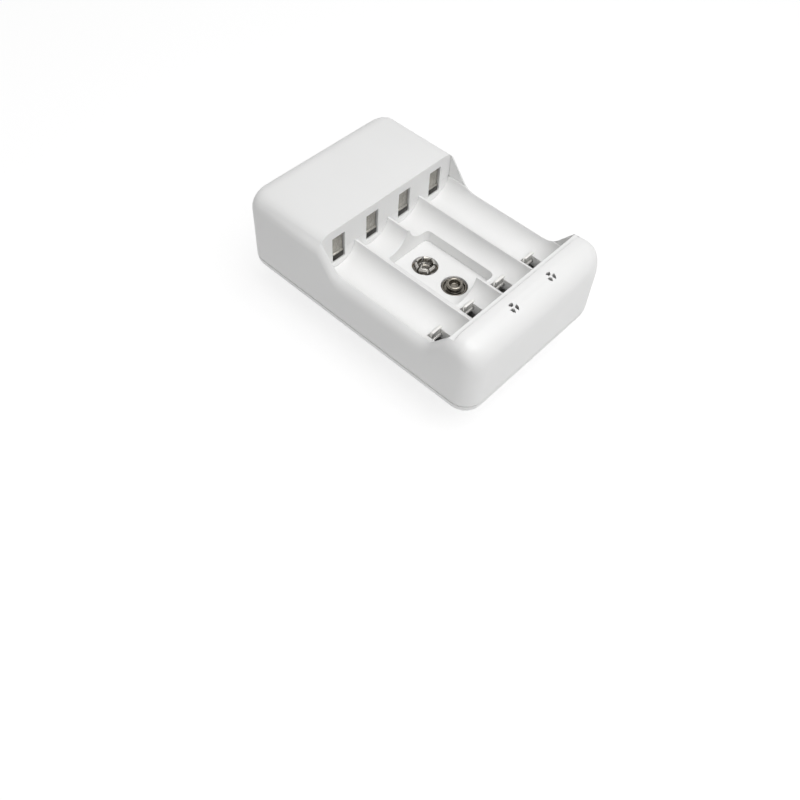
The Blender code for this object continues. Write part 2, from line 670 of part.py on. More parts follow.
def cut_pocket(housing):
    """The flat-floored pocket of the 9 V block, across the middle ridge, and its two contact holes."""
    low = (-POCKET_WIDTH / 2, along(POCKET_MIDDLE - POCKET_LENGTH / 2))
    high = (POCKET_WIDTH / 2, along(POCKET_MIDDLE + POCKET_LENGTH / 2))
    plan = rounded_rectangle(low, high, POCKET_CORNER, 3)
    cut(housing, plate("pocket", plan, POCKET_FLOOR, RIDGE_HEIGHT + CUT))
    for side in (-1, 1):
        d = POCKET_MIDDLE + side * SNAP_PITCH / 2
        foot = place(0, d, POCKET_FLOOR - POCKET_FLOOR_WALL - CUT)
        cut(housing, cylinder("snap_hole", SNAP_HOLE_RADIUS, foot, place(0, d, POCKET_FLOOR + CUT), 32))


def cut_light_holes(housing):
    """A ring of three openings over each indicator light, each one a part of a ring."""
    for side in (-1, 1):
        middle = (side * LIGHT_X, along(LIGHT_DISTANCE))
        for k in range(LIGHT_HOLES):
            angle = 90 + 360 * k / LIGHT_HOLES
            low, high = angle - LIGHT_HOLE_SPREAD, angle + LIGHT_HOLE_SPREAD
            ring_part = (arc(middle, LIGHT_HOLE_OUTER, low, high, 4)
                         + arc(middle, LIGHT_HOLE_INNER, high, low, 2))
            cut(housing, plate("light_hole", ring_part, LED_TOP - CUT, HEAD_HEIGHT))


def make_back_cover():
    """The lower half: a tray with rounded edges, the disc's seat, the label recess and the boards' posts."""
    half = BODY_WIDTH / 2
    plan = rounded_rectangle((-half, along(0)), (half, along(BODY_LENGTH)), CORNER_RADIUS, 5)
    cover = plate("back_cover", plan, 0, COVER_THICKNESS)
    bm = bmesh.new()
    bm.from_mesh(cover.data)
    rim = [e for e in bm.edges if max(v.co.z for v in e.verts) < above(0) + 0.01 * MM]
    bmesh.ops.bevel(bm, geom=rim, offset=BACK_EDGE_RADIUS, segments=4, profile=0.5, affect="EDGES")
    bm.to_mesh(cover.data)
    bm.free()
    inset = WALL + GAP
    outer = rounded_rectangle((-half + inset, along(inset)), (half - inset, along(BODY_LENGTH - inset)),
                              CORNER_RADIUS - inset, 3)
    inset += LIP_THICKNESS
    inner = rounded_rectangle((-half + inset, along(inset)), (half - inset, along(BODY_LENGTH - inset)),
                              CORNER_RADIUS - inset, 3)
    lip = plate("lip", outer, COVER_THICKNESS - CUT, COVER_THICKNESS + LIP_HEIGHT)
    cut(lip, plate("lip_inside", inner, COVER_THICKNESS, COVER_THICKNESS + LIP_HEIGHT + CUT))
    join(cover, lip)
    hollow = rounded_rectangle((-half + 2 * WALL, along(2 * WALL)),
                               (half - 2 * WALL, along(COVER_HOLLOW_END)), WALL)
    cut(cover, plate("hollow", hollow, COVER_FLOOR, COVER_THICKNESS + CUT))
    join(cover, cylinder("collar", RING_RADIUS, place(0, DISC_CENTRE, WEB_BOTTOM + CUT),
                         place(0, DISC_CENTRE, HUB_HEIGHT), 48))
    seat = DISC_RADIUS + GAP
    cut(cover, cylinder("seat", seat, place(0, DISC_CENTRE, -CUT), place(0, DISC_CENTRE, WEB_BOTTOM), 56),
        cylinder("hub_hole", HUB_RADIUS + GAP, place(0, DISC_CENTRE, 0),
                 place(0, DISC_CENTRE, HUB_HEIGHT + CUT), 48),
        plate("label", rounded_rectangle((-LABEL_WIDTH / 2, along(LABEL_START)),
                                         (LABEL_WIDTH / 2, along(LABEL_END)), LABEL_CORNER, 4),
              -CUT, LABEL_DEPTH))
    add_posts(cover)
    for side in (-1, 1):
        mouth = place(side * CASE_SCREW_X, CASE_SCREW_DISTANCE, -CUT)
        cut(cover, cylinder("counterbore", SCREW_HEAD_RADIUS + GAP, mouth,
                            mouth + Vector((0, 0, CUT + COUNTERBORE))),
            cylinder("screw_hole", SCREW_RADIUS + GAP, mouth,
                     mouth + Vector((0, 0, 2 * CUT + COVER_THICKNESS)), 16))
    return dress(cover, WHITE, 0.38)


def add_posts(cover):
    """Round posts that carry the main board and the board of the 9 V contacts."""
    posts = []
    web = (WEB_BOTTOM + COVER_THICKNESS) / 2
    for side in (-1, 1):
        edge = BOARD_WIDTH / 2 - POST_INSET
        for d in (BOARD_START + POST_INSET, BOARD_START + BOARD_LENGTH - POST_INSET):
            posts.append((side * edge, d, web, BOARD_HEIGHT))
        edge = SNAP_BOARD_WIDTH / 2 - POST_INSET
        posts.append((side * edge, SNAP_POST_START, COVER_FLOOR / 2, SNAP_BOARD_HEIGHT))
        posts.append((side * edge, SNAP_POST_END, web, SNAP_BOARD_HEIGHT))
    for x, d, foot, board in posts:
        join(cover, cylinder("post", POST_RADIUS, place(x, d, foot), place(x, d, board - GAP), 10))


def screw(name, tip, seat, direction, radius=SCREW_RADIUS, head=SCREW_HEAD_RADIUS, height=SCREW_HEAD_HEIGHT):
    """A pan-head screw: its head starts at the seat and its shank ends at a depth below it."""
    profile = [(0, height), (head * 0.7, height), (head, height * 0.6), (head, 0), (radius, 0),
               (radius, -tip), (0, -tip)]
    piece = turned(name, profile, seat, direction, 12)
    deep = height * 0.5
    wide = head * 0.5
    turn = Vector(direction).to_track_quat("Z", "Y").to_matrix().to_4x4()
    for i, half in enumerate(((wide, wide * 0.25), (wide * 0.25, wide))):
        slot = box(f"cross_{i}", (-half[0], -half[1], height - deep), (half[0], half[1], height + CUT))
        slot.data.transform(Matrix.Translation(seat) @ turn)
        cut(piece, slot)
    return dress(piece, ZINC, 0.35, 1.0)


def ear_outline():
    """Side view of a hinge ear: round at the hinge, upright towards the nose, sloped towards the head."""
    centre = (DISC_CENTRE, -AXIS_DEPTH)
    foot = (DISC_CENTRE + EAR_FOOT, DISC_RECESS + DISC_THICKNESS / 2)
    reach = math.hypot(foot[0] - centre[0], foot[1] - centre[1])
    lean = math.degrees(math.atan2(foot[1] - centre[1], foot[0] - centre[0]) - math.acos(EAR_RADIUS / reach))
    return [(DISC_CENTRE - EAR_RADIUS, foot[1]), *arc(centre, EAR_RADIUS, 180, 360 + lean, 18), foot]


def make_turntable():
    """The swivelling disc with its hub, two hinge ears, the middle knuckle and two wells for the barrel."""
    centre = place(0, DISC_CENTRE, 0)
    profile = [(0, HUB_HEIGHT), (HUB_RADIUS, HUB_HEIGHT), (HUB_RADIUS, DISC_TOP), (DISC_RADIUS, DISC_TOP),
               (DISC_RADIUS, DISC_RECESS + DISC_RIM), (DISC_RADIUS - DISC_RIM, DISC_RECESS), (0, DISC_RECESS)]
    disc = turned("turntable", profile, centre, sides=56)
    for side in (-1, 1):
        near = side * (MIDDLE_KNUCKLE / 2 + KNUCKLE_GAP - WELL_GAP)
        far = side * (EAR_INNER - WELL_GAP)
        cut(disc, cylinder("well", WELL_RADIUS, place(near, DISC_CENTRE, -AXIS_DEPTH),
                           place(far, DISC_CENTRE, -AXIS_DEPTH), 32))
        inner, outer = side * EAR_INNER, side * (EAR_INNER + EAR_THICKNESS)
        join(disc, side_prism("ear", ear_outline(), min(inner, outer), max(inner, outer)))
    root = (DISC_CENTRE + EAR_RADIUS, DISC_RECESS + DISC_THICKNESS / 2)
    knuckle = [(DISC_CENTRE - EAR_RADIUS, root[1]),
               *arc((DISC_CENTRE, -AXIS_DEPTH), EAR_RADIUS, 180, 360, 18), root]
    join(disc, side_prism("knuckle", knuckle, -MIDDLE_KNUCKLE / 2, MIDDLE_KNUCKLE / 2))
    for side in (-1, 1):
        inner = MIDDLE_KNUCKLE / 2 - HINGE_PIN_BURY - GAP
        outer = EAR_INNER + EAR_THICKNESS / 2 + GAP
        cut(disc, cylinder("pin_hole", HINGE_PIN_RADIUS + GAP, place(side * inner, DISC_CENTRE, -AXIS_DEPTH),
                           place(side * outer, DISC_CENTRE, -AXIS_DEPTH)))
        x, d = side * RING_SCREW_X, DISC_CENTRE + side * RING_SCREW_Y
        cut(disc, cylinder("ring_screw_hole", RING_SCREW_RADIUS + GAP, place(x, d, DISC_RECESS + 2 * GAP),
                           place(x, d, HUB_HEIGHT + CUT), 16))
    return dress(disc, WHITE, 0.38)


def make_hub_ring():
    """The washer inside the housing that holds the disc in its seat, and its two screws."""
    low = HUB_HEIGHT + GAP
    high = low + RING_THICKNESS
    profile = [(RING_BORE, high), (RING_RADIUS, high), (RING_RADIUS, low), (RING_BORE, low),
               (RING_BORE, high)]
    ring = turned("hub_ring", profile, place(0, DISC_CENTRE, 0), sides=36)
    pieces = [ring]
    for side, word in ((-1, "left"), (1, "right")):
        x, d = side * RING_SCREW_X, DISC_CENTRE + side * RING_SCREW_Y
        cut(ring, cylinder("ring_hole", RING_SCREW_RADIUS + GAP, place(x, d, low - CUT),
                           place(x, d, high + CUT), 16))
        depth = high + GAP - (DISC_RECESS + 4 * GAP)
        pieces.append(screw(f"hub_screw_{word}", depth, place(x, d, high + GAP), (0, 0, 1),
                            RING_SCREW_RADIUS, RING_SCREW_HEAD, RING_SCREW_HEIGHT))
    dress(ring, INNER, 0.5)
    return pieces


def plug_outline():
    """Side view of the plug: a flat outer face that runs into the barrel, which dips into the disc."""
    outer, inner = -PLUG_DEPTH, -PLUG_LIFT
    meet = 180 - math.degrees(math.asin((AXIS_DEPTH - PLUG_LIFT) / BARREL_RADIUS))
    front_low, front_high = (PLUG_FRONT, outer), (PLUG_FRONT, inner)
    return [*fillet((DISC_CENTRE, inner), front_high, front_low, PLUG_FOOT_ROUND, 3),
            *fillet(front_high, front_low, (DISC_CENTRE, outer), PLUG_TIP_ROUND, 5),
            *arc((DISC_CENTRE, -AXIS_DEPTH), BARREL_RADIUS, -90, meet, 24)]


def make_plug_body():
    """The folding plug: a block that runs into a barrel, notched in the middle for the disc's knuckle."""
    inner, outer = -PLUG_LIFT, -PLUG_DEPTH
    body = side_prism("plug_body", plug_outline(), -PLUG_WIDTH / 2, PLUG_WIDTH / 2)
    soften(body, PLUG_EDGE, 2)
    axis_left = place(-BARREL_WIDTH / 2, DISC_CENTRE, -AXIS_DEPTH)
    axis_right = place(BARREL_WIDTH / 2, DISC_CENTRE, -AXIS_DEPTH)
    barrel = cylinder("barrel", BARREL_RADIUS - BARREL_STEP, axis_left, axis_right, 36)
    join(body, soften(barrel, PLUG_EDGE / 2, 2))
    notch = MIDDLE_KNUCKLE / 2 + KNUCKLE_GAP
    over = Vector((CUT, 0, 0))
    cut(body, cylinder("notch", NOTCH_RADIUS, place(-notch, DISC_CENTRE, -AXIS_DEPTH),
                       place(notch, DISC_CENTRE, -AXIS_DEPTH), 48),
        cylinder("hinge_hole", HINGE_PIN_RADIUS + GAP, axis_left - over, axis_right + over))
    for side in (-1, 1):
        x = side * PIN_SPACING / 2
        cut(body, cylinder("pin_socket", PIN_RADIUS + GAP, place(x, PLUG_FRONT - CUT, -PIN_DEPTH),
                           place(x, PLUG_FRONT + PIN_BURY + GAP, -PIN_DEPTH)))
        start, direction = set_screw_line(side)
        seat = start + direction * (BARREL_RADIUS - COUNTERBORE)
        cut(body, cylinder("set_screw_hole", SCREW_RADIUS + GAP, start, seat + direction * GAP, 16),
            cylinder("set_counterbore", SCREW_HEAD_RADIUS + GAP, seat, seat + direction * 2 * COUNTERBORE))
    mouth = place(0, PLUG_SCREW_DISTANCE, outer)
    low = place(-PLUG_COVER_WIDTH / 2 - GAP, PLUG_COVER_START, inner - PLUG_COVER_THICKNESS - GAP)
    high = place(PLUG_COVER_WIDTH / 2 + GAP, PLUG_COVER_START + PLUG_COVER_LENGTH, CUT)
    cut(body, cylinder("plug_counterbore", SCREW_HEAD_RADIUS + GAP, mouth - Vector((0, 0, CUT)),
                       mouth + Vector((0, 0, COUNTERBORE))),
        cylinder("plug_screw_hole", SCREW_RADIUS + GAP, mouth, place(0, PLUG_SCREW_DISTANCE, inner), 16),
        box("cover_recess", low, high))
    return dress(body, WHITE, 0.38)


def set_screw_line(side):
    """Point on the hinge axis and outward direction of the screw that holds a hinge pin."""
    direction = Vector((0, math.sin(SET_SCREW_ANGLE), -math.cos(SET_SCREW_ANGLE)))
    return place(side * SET_SCREW_X, DISC_CENTRE, -AXIS_DEPTH), direction


def make_plug_fittings():
    """The plug's inner cover, its screw, the hinge pins with their screws, and the sleeved mains pins."""
    inner = -PLUG_LIFT
    half = PLUG_COVER_WIDTH / 2
    cover = box("plug_cover", place(-half, PLUG_COVER_START + GAP, inner - PLUG_COVER_THICKNESS),
                place(half, PLUG_COVER_START + PLUG_COVER_LENGTH - GAP, inner))
    pieces = [dress(cover, WHITE, 0.4)]
    seat = place(0, PLUG_SCREW_DISTANCE, -PLUG_DEPTH + COUNTERBORE - GAP)
    depth = PLUG_DEPTH - COUNTERBORE + GAP - (PLUG_LIFT + PLUG_COVER_THICKNESS + 2 * GAP)
    pieces.append(screw("plug_screw", depth, seat, (0, 0, -1)))
    for side, word in ((-1, "left"), (1, "right")):
        near = MIDDLE_KNUCKLE / 2 - HINGE_PIN_BURY
        far = EAR_INNER + EAR_THICKNESS / 2
        pin = cylinder(f"hinge_pin_{word}", HINGE_PIN_RADIUS, place(side * near, DISC_CENTRE, -AXIS_DEPTH),
                       place(side * far, DISC_CENTRE, -AXIS_DEPTH), 20)
        pieces.append(dress(pin, ZINC, 0.3, 1.0))
        centre, direction = set_screw_line(side)
        rise = BARREL_RADIUS - COUNTERBORE + GAP
        tip = rise - HINGE_PIN_RADIUS - GAP
        pieces.append(screw(f"set_screw_{word}", tip, centre + direction * rise, direction))
        pieces += make_mains_pin(side * PIN_SPACING / 2, word)
    return pieces


def make_mains_pin(x, word):
    """One mains pin, turned with a thin core under its sleeve, and the sleeve. It points to the nose."""
    root = place(x, PLUG_FRONT, -PIN_DEPTH)
    bare = PIN_LENGTH - SLEEVE_LENGTH
    tip = PIN_RADIUS * 0.5
    profile = [(0, PIN_LENGTH), (PIN_RADIUS - tip, PIN_LENGTH),
               (PIN_RADIUS - 0.3 * tip, PIN_LENGTH - 0.4 * tip),
               (PIN_RADIUS, PIN_LENGTH - tip), (PIN_RADIUS, PIN_LENGTH - bare),
               (PIN_CORE_RADIUS, PIN_LENGTH - bare), (PIN_CORE_RADIUS, -PIN_BURY), (0, -PIN_BURY)]
    metal = turned(f"mains_pin_{word}", profile, root, (0, -1, 0), 20)
    dress(metal, NICKEL, 0.25, 1.0)
    inside = PIN_RADIUS - SLEEVE_WALL
    top = SLEEVE_LENGTH - GAP
    foot = -PIN_BURY * 0.8
    ring = [(inside, top), (PIN_RADIUS, top), (PIN_RADIUS, foot), (inside, foot), (inside, top)]
    sleeve = turned(f"pin_sleeve_{word}", ring, root, (0, -1, 0), 20)
    return [metal, dress(sleeve, WHITE, 0.4)]


def make_positive_contact(index):
    """A bent strip: its ribbed face stands in the head wall's slot, and its foot lies on the main board."""
    face = STRIP_FACE + SHEET / 2
    behind = HEAD_FRONT + HEAD_WALL + GAP + SHEET / 2
    jog = SLOT_BOTTOM + STRIP_FOLD
    foot = BOARD_TOP + GAP + SHEET / 2
    path = [(face, SLOT_TOP - GAP), (face, jog + 2 * STRIP_KICK_RISE),
            (face - STRIP_KICK, jog + STRIP_KICK_RISE), (face, jog), (behind, jog), (behind, foot),
            (BOARD_START + CONTACT_FOOT, foot)]
    x = bay_x(index)
    half = STRIP_WIDTH / 2
    strip = side_prism(f"positive_contact_{index + 1}", bent_sheet(path, SHEET), x - half, x + half)
    return dress(strip, NICKEL, 0.28, 1.0)


def make_negative_contact(index):
    """A square plate with a pressed dome, on the nose wall behind each bay."""
    x = bay_x(index)
    half = BUTTON_WIDTH / 2
    back = NOSE_INNER - BUTTON_SHEET
    piece = box(f"negative_contact_{index + 1}", place(x - half, back, CELL_AXIS - half),
                place(x + half, NOSE_INNER, CELL_AXIS + half))
    angles = np.radians(np.linspace(90, 0, 4))
    dome = [(BUTTON_RADIUS * math.cos(a), BUTTON_RISE * math.sin(a)) for a in angles]
    dome[0] = (0, BUTTON_RISE)
    dome += [(BUTTON_RADIUS, -BUTTON_SHEET / 2), (0, -BUTTON_SHEET / 2)]
    join(piece, turned("dome", dome, place(x, NOSE_INNER, CELL_AXIS), (0, 1, 0), 16))
    return dress(piece, NICKEL, 0.28, 1.0)


def make_aaa_contact(index):
    """A lipped tab that stands in the trough for an AAA cell and folds down on its rod under an AA cell."""
    x = bay_x(index)
    half = TAB_WIDTH / 2
    brow = TAB_TOP - TAB_THICKNESS / 2
    path = [(TAB_DISTANCE, TAB_ROD_HEIGHT), (TAB_DISTANCE, brow), (TAB_DISTANCE - TAB_LIP, brow)]
    tab = side_prism(f"aaa_contact_{index + 1}", bent_sheet(path, TAB_THICKNESS), x - half, x + half)
    join(tab, cylinder("rod", TAB_ROD_RADIUS, place(x - TAB_ROD_LENGTH / 2, TAB_DISTANCE, TAB_ROD_HEIGHT),
                       place(x + TAB_ROD_LENGTH / 2, TAB_DISTANCE, TAB_ROD_HEIGHT), 10))
    return dress(tab, NICKEL, 0.28, 1.0)


def make_snaps():
    """The 9 V contacts on their board: a socket of sprung petals, and a stud with a rolled rim."""
    base = POCKET_FLOOR - POCKET_FLOOR_WALL - GAP
    rear = place(0, POCKET_MIDDLE + SNAP_PITCH / 2, base)
    front = place(0, POCKET_MIDDLE - SNAP_PITCH / 2, base)
    height = POCKET_FLOOR - base + SNAP_RISE
    bore, outer, flange = SOCKET_BORE, SNAP_RADIUS, SNAP_FLANGE
    cup = [(bore, height), (bore + SOCKET_WALL, height), (bore + 1.3 * SOCKET_WALL, height * 0.6),
           (bore + SOCKET_WALL, flange), (outer, flange), (outer, 0), (0, 0), (0, flange), (bore, flange),
           (bore + 0.3 * SOCKET_WALL, height * 0.6), (bore, height)]
    socket = turned("snap_socket", cup, rear, sides=24)
    for k in range(3):
        slit = box(f"slit_{k}", (-outer, -SOCKET_SLIT / 2, flange * 1.6),
                   (outer, SOCKET_SLIT / 2, height + CUT))
        slit.data.transform(Matrix.Translation(rear) @ Matrix.Rotation(math.pi * k / 3, 4, "Z"))
        cut(socket, slit)
    dress(socket, NICKEL, 0.3, 1.0)
    stud = [(0, height * 0.55), (STUD_WAIST * 0.6, height * 0.55), (STUD_WAIST * 0.75, height),
            (STUD_WAIST, height + STUD_RIM), (STUD_HEAD, height * 0.88), (STUD_HEAD, height * 0.72),
            (STUD_WAIST, height * 0.55), (STUD_WAIST, flange * 2), (outer * 0.86, flange * 2),
            (outer * 0.86, height * 0.5), (outer, height * 0.5), (outer, 0), (0, 0)]
    pin = turned("snap_stud", stud, front, sides=24)
    dress(pin, NICKEL, 0.3, 1.0)
    half = SNAP_BOARD_WIDTH / 2
    board = box("snap_board", place(-half, SNAP_BOARD_START, SNAP_BOARD_HEIGHT),
                place(half, SNAP_BOARD_END, SNAP_BOARD_HEIGHT + SNAP_BOARD_THICKNESS))
    return [socket, pin, dress(board, BROWN, 0.6)]


def make_lights():
    """The two indicator lights and their board in the nose."""
    half = LED_BOARD_WIDTH / 2
    top = LED_BOARD_HEIGHT + BOARD_THICKNESS
    board = box("led_board", place(-half, NOSE_FRONT_WALL + 2 * GAP, LED_BOARD_HEIGHT),
                place(half, NOSE_INNER - WALL - 2 * GAP, top))
    pieces = [dress(board, GREEN, 0.5)]
    rise = LED_TOP - top - GAP
    bulb = [(LED_RADIUS * math.cos(a), rise - LED_RADIUS + LED_RADIUS * math.sin(a))
            for a in np.radians(np.linspace(90, 0, 4))]
    bulb[0] = (0, rise)
    bulb += [(LED_RADIUS, LED_FLANGE_HEIGHT), (LED_RADIUS + LED_FLANGE, LED_FLANGE_HEIGHT),
             (LED_RADIUS + LED_FLANGE, 0), (0, 0)]
    for side, word in ((-1, "left"), (1, "right")):
        led = turned(f"led_{word}", bulb, place(side * LIGHT_X, LIGHT_DISTANCE, top + GAP), sides=12)
        pieces.append(dress(led, RED, 0.15))
    return pieces


def make_electronics():
    """The main board in the head with its transformer and capacitor."""
    half = BOARD_WIDTH / 2
    board = box("main_board", place(-half, BOARD_START, BOARD_HEIGHT),
                place(half, BOARD_START + BOARD_LENGTH, BOARD_TOP))
    low = BOARD_TOP + GAP
    deep = CORE_DEPTH / 2
    core = box("transformer_core", place(-CORE_WIDTH / 2, CORE_DISTANCE - deep, low),
               place(CORE_WIDTH / 2, CORE_DISTANCE + deep, low + CORE_HEIGHT))
    window_low = low + CORE_YOKE
    window_high = low + CORE_HEIGHT - CORE_YOKE
    outer = CORE_WIDTH / 2 - CORE_SIDE
    for side in (-1, 1):
        reach = sorted((side * CORE_LEG / 2, side * outer))
        cut(core, box("window", place(reach[0], CORE_DISTANCE - deep - CUT, window_low),
                      place(reach[1], CORE_DISTANCE + deep + CUT, window_high)))
    turns = rounded_rectangle((-outer + GAP, along(CORE_DISTANCE - deep - WINDING_BULGE)),
                              (outer - GAP, along(CORE_DISTANCE + deep + WINDING_BULGE)), WINDING_BULGE)
    winding = plate("transformer_winding", turns, window_low + GAP, window_high - GAP)
    cut(winding, box("leg", place(-CORE_LEG / 2 - GAP, CORE_DISTANCE - deep - GAP, window_low),
                     place(CORE_LEG / 2 + GAP, CORE_DISTANCE + deep + GAP, window_high)))
    can = cylinder("capacitor", CAPACITOR_RADIUS, place(CAPACITOR_X, CORE_DISTANCE, low),
                   place(CAPACITOR_X, CORE_DISTANCE, low + CAPACITOR_HEIGHT), 20)
    soften(can, CAPACITOR_EDGE, 2)
    return [dress(board, GREEN, 0.5), dress(core, IRON, 0.55, 0.6),
            dress(winding, COPPER, 0.4), dress(can, SLEEVE, 0.35)]


def hang(pieces, name, point):
    """Parents moving pieces to an empty on their joint's axis."""
    axis = bpy.data.objects.new(name, None)
    axis.location = point
    collection(PARTS).objects.link(axis)
    bpy.context.view_layer.update()
    for piece in pieces:
        piece.parent = axis
        piece.matrix_parent_inverse = axis.matrix_world.inverted()
    return axis


def main():
    """Builds the charger."""
    for old in list(bpy.data.objects):
        bpy.data.objects.remove(old)
    make_top_housing()
    make_back_cover()
    for side, word in ((-1, "left"), (1, "right")):
        seat = place(side * CASE_SCREW_X, CASE_SCREW_DISTANCE, COUNTERBORE - GAP)
        screw(f"case_screw_{word}", CASE_SCREW_LENGTH, seat, (0, 0, -1))
    swivel = [make_turntable(), *make_hub_ring()]
    fold = [make_plug_body(), *make_plug_fittings()]
    swivel_axis = hang(swivel, "swivel_axis", place(0, DISC_CENTRE, 0))
    fold_axis = hang(fold, "fold_axis", place(0, DISC_CENTRE, -AXIS_DEPTH))
    hang([fold_axis], "fold_carrier", swivel_axis.location)
    for i in range(CELL_COUNT):
        make_positive_contact(i)
        make_negative_contact(i)
        hang([make_aaa_contact(i)], f"aaa_axis_{i + 1}", place(bay_x(i), TAB_DISTANCE, TAB_ROD_HEIGHT))
    make_snaps()
    make_lights()
    make_electronics()


main()
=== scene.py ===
"""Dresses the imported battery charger: satin white mouldings, nickel contacts, a folding plug and its screws.

The frame holds the solids. Each sub-assembly class below refines its own nodes or replaces them by finer
surfaces, gives them their finish and hangs them on their body.
"""
from __future__ import annotations

import json
import logging
import math
from collections.abc import Callable
from dataclasses import dataclass, field
from enum import Enum

import bmesh
import bpy
import numpy as np
from mathutils import Matrix, Vector

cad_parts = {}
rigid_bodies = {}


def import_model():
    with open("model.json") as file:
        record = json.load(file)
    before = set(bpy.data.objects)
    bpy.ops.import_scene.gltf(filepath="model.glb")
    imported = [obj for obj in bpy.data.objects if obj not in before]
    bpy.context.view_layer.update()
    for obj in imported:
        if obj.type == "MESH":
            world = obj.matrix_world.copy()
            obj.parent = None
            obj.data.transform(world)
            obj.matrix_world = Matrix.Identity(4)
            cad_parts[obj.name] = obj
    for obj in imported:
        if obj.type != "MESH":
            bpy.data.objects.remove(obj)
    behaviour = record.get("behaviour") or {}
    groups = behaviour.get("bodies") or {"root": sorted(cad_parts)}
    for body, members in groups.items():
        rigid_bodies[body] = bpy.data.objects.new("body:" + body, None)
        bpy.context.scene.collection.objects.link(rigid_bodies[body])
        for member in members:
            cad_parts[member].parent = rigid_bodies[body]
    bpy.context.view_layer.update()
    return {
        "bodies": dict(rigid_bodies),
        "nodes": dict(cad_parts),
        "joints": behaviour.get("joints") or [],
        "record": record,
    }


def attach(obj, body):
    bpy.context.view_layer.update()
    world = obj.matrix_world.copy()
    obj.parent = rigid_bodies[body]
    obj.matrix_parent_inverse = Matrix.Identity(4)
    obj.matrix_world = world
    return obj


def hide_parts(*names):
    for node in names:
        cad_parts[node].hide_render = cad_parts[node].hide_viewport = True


LOG = logging.getLogger("charger")
MM = 0.001
NOSE_END = -48.4 * MM           # Y of the nose's end
BACK_PLANE = 13.8 * MM          # Z of the back plane
SMOOTH_ANGLE = 38.0             # degrees: faces of a made piece that meet at less are shaded as one
MERGE = 0.0005 * MM             # points of a made piece closer than this are one
WELD = 0.002 * MM               # and points of a refined node
LEVEL_ANGLE = 0.3               # degrees: faces of a refined node that meet at less become one
SAME_POINT = 1e-7               # metres: a path's points closer than this are one
CORNER_SHARE = 0.45             # the most of an edge that one corner's rounding takes
SIDES = (("left", -1), ("right", 1))
EVEN = (1.0, 1.0, 1.0)
DOWN = (0, 0, -1)
BLACK = (0.0, 0.0, 0.0, 1.0)
FULL_WHITE = (1.0, 1.0, 1.0, 1.0)

Point = tuple[float, float]
Place = tuple[float, float, float]
Colour = tuple[float, float, float]
Pair = tuple[np.ndarray, np.ndarray]


class Body(Enum):
    """The rigid bodies that the pieces ride on."""

    HOUSING = "housing"
    SWIVEL = "swivel"
    PLUG = "plug"
    TAB_1 = "aaa_tab_1"
    TAB_2 = "aaa_tab_2"
    TAB_3 = "aaa_tab_3"
    TAB_4 = "aaa_tab_4"


class Slot(Enum):
    """The record's material slots, named beside each finer piece."""

    WHITE = "white_plastic"
    CONTACT = "contact_metal"
    PIN = "pin_metal"
    STEEL = "steel"


class Wire:
    """An output socket that can be written in sums, products and comparisons."""

    def __init__(self, graph: "Graph", socket: bpy.types.NodeSocket) -> None:
        """Keeps the graph and the socket."""
        self.graph = graph
        self.socket = socket

    def _maths(self, operation: str, *values: object) -> "Wire":
        """Adds a Math node.

        Args:
            operation: the Math node's operation.
            values: numbers or wires, in socket order.

        Returns:
            The node's value.
        """
        inputs = dict(enumerate(values))
        return self.graph.node("ShaderNodeMath", {"operation": operation}, inputs)

    def __add__(self, other: object) -> "Wire":
        """Sum."""
        return self._maths("ADD", self, other)

    __radd__ = __add__

    def __sub__(self, other: object) -> "Wire":
        """Difference."""
        return self._maths("SUBTRACT", self, other)

    def __mul__(self, other: object) -> "Wire":
        """Product."""
        return self._maths("MULTIPLY", self, other)

    def __gt__(self, other: object) -> "Wire":
        """One where this is the greater."""
        return self._maths("GREATER_THAN", self, other)

    def __pow__(self, other: object) -> "Wire":
        """Power."""
        return self._maths("POWER", self, other)


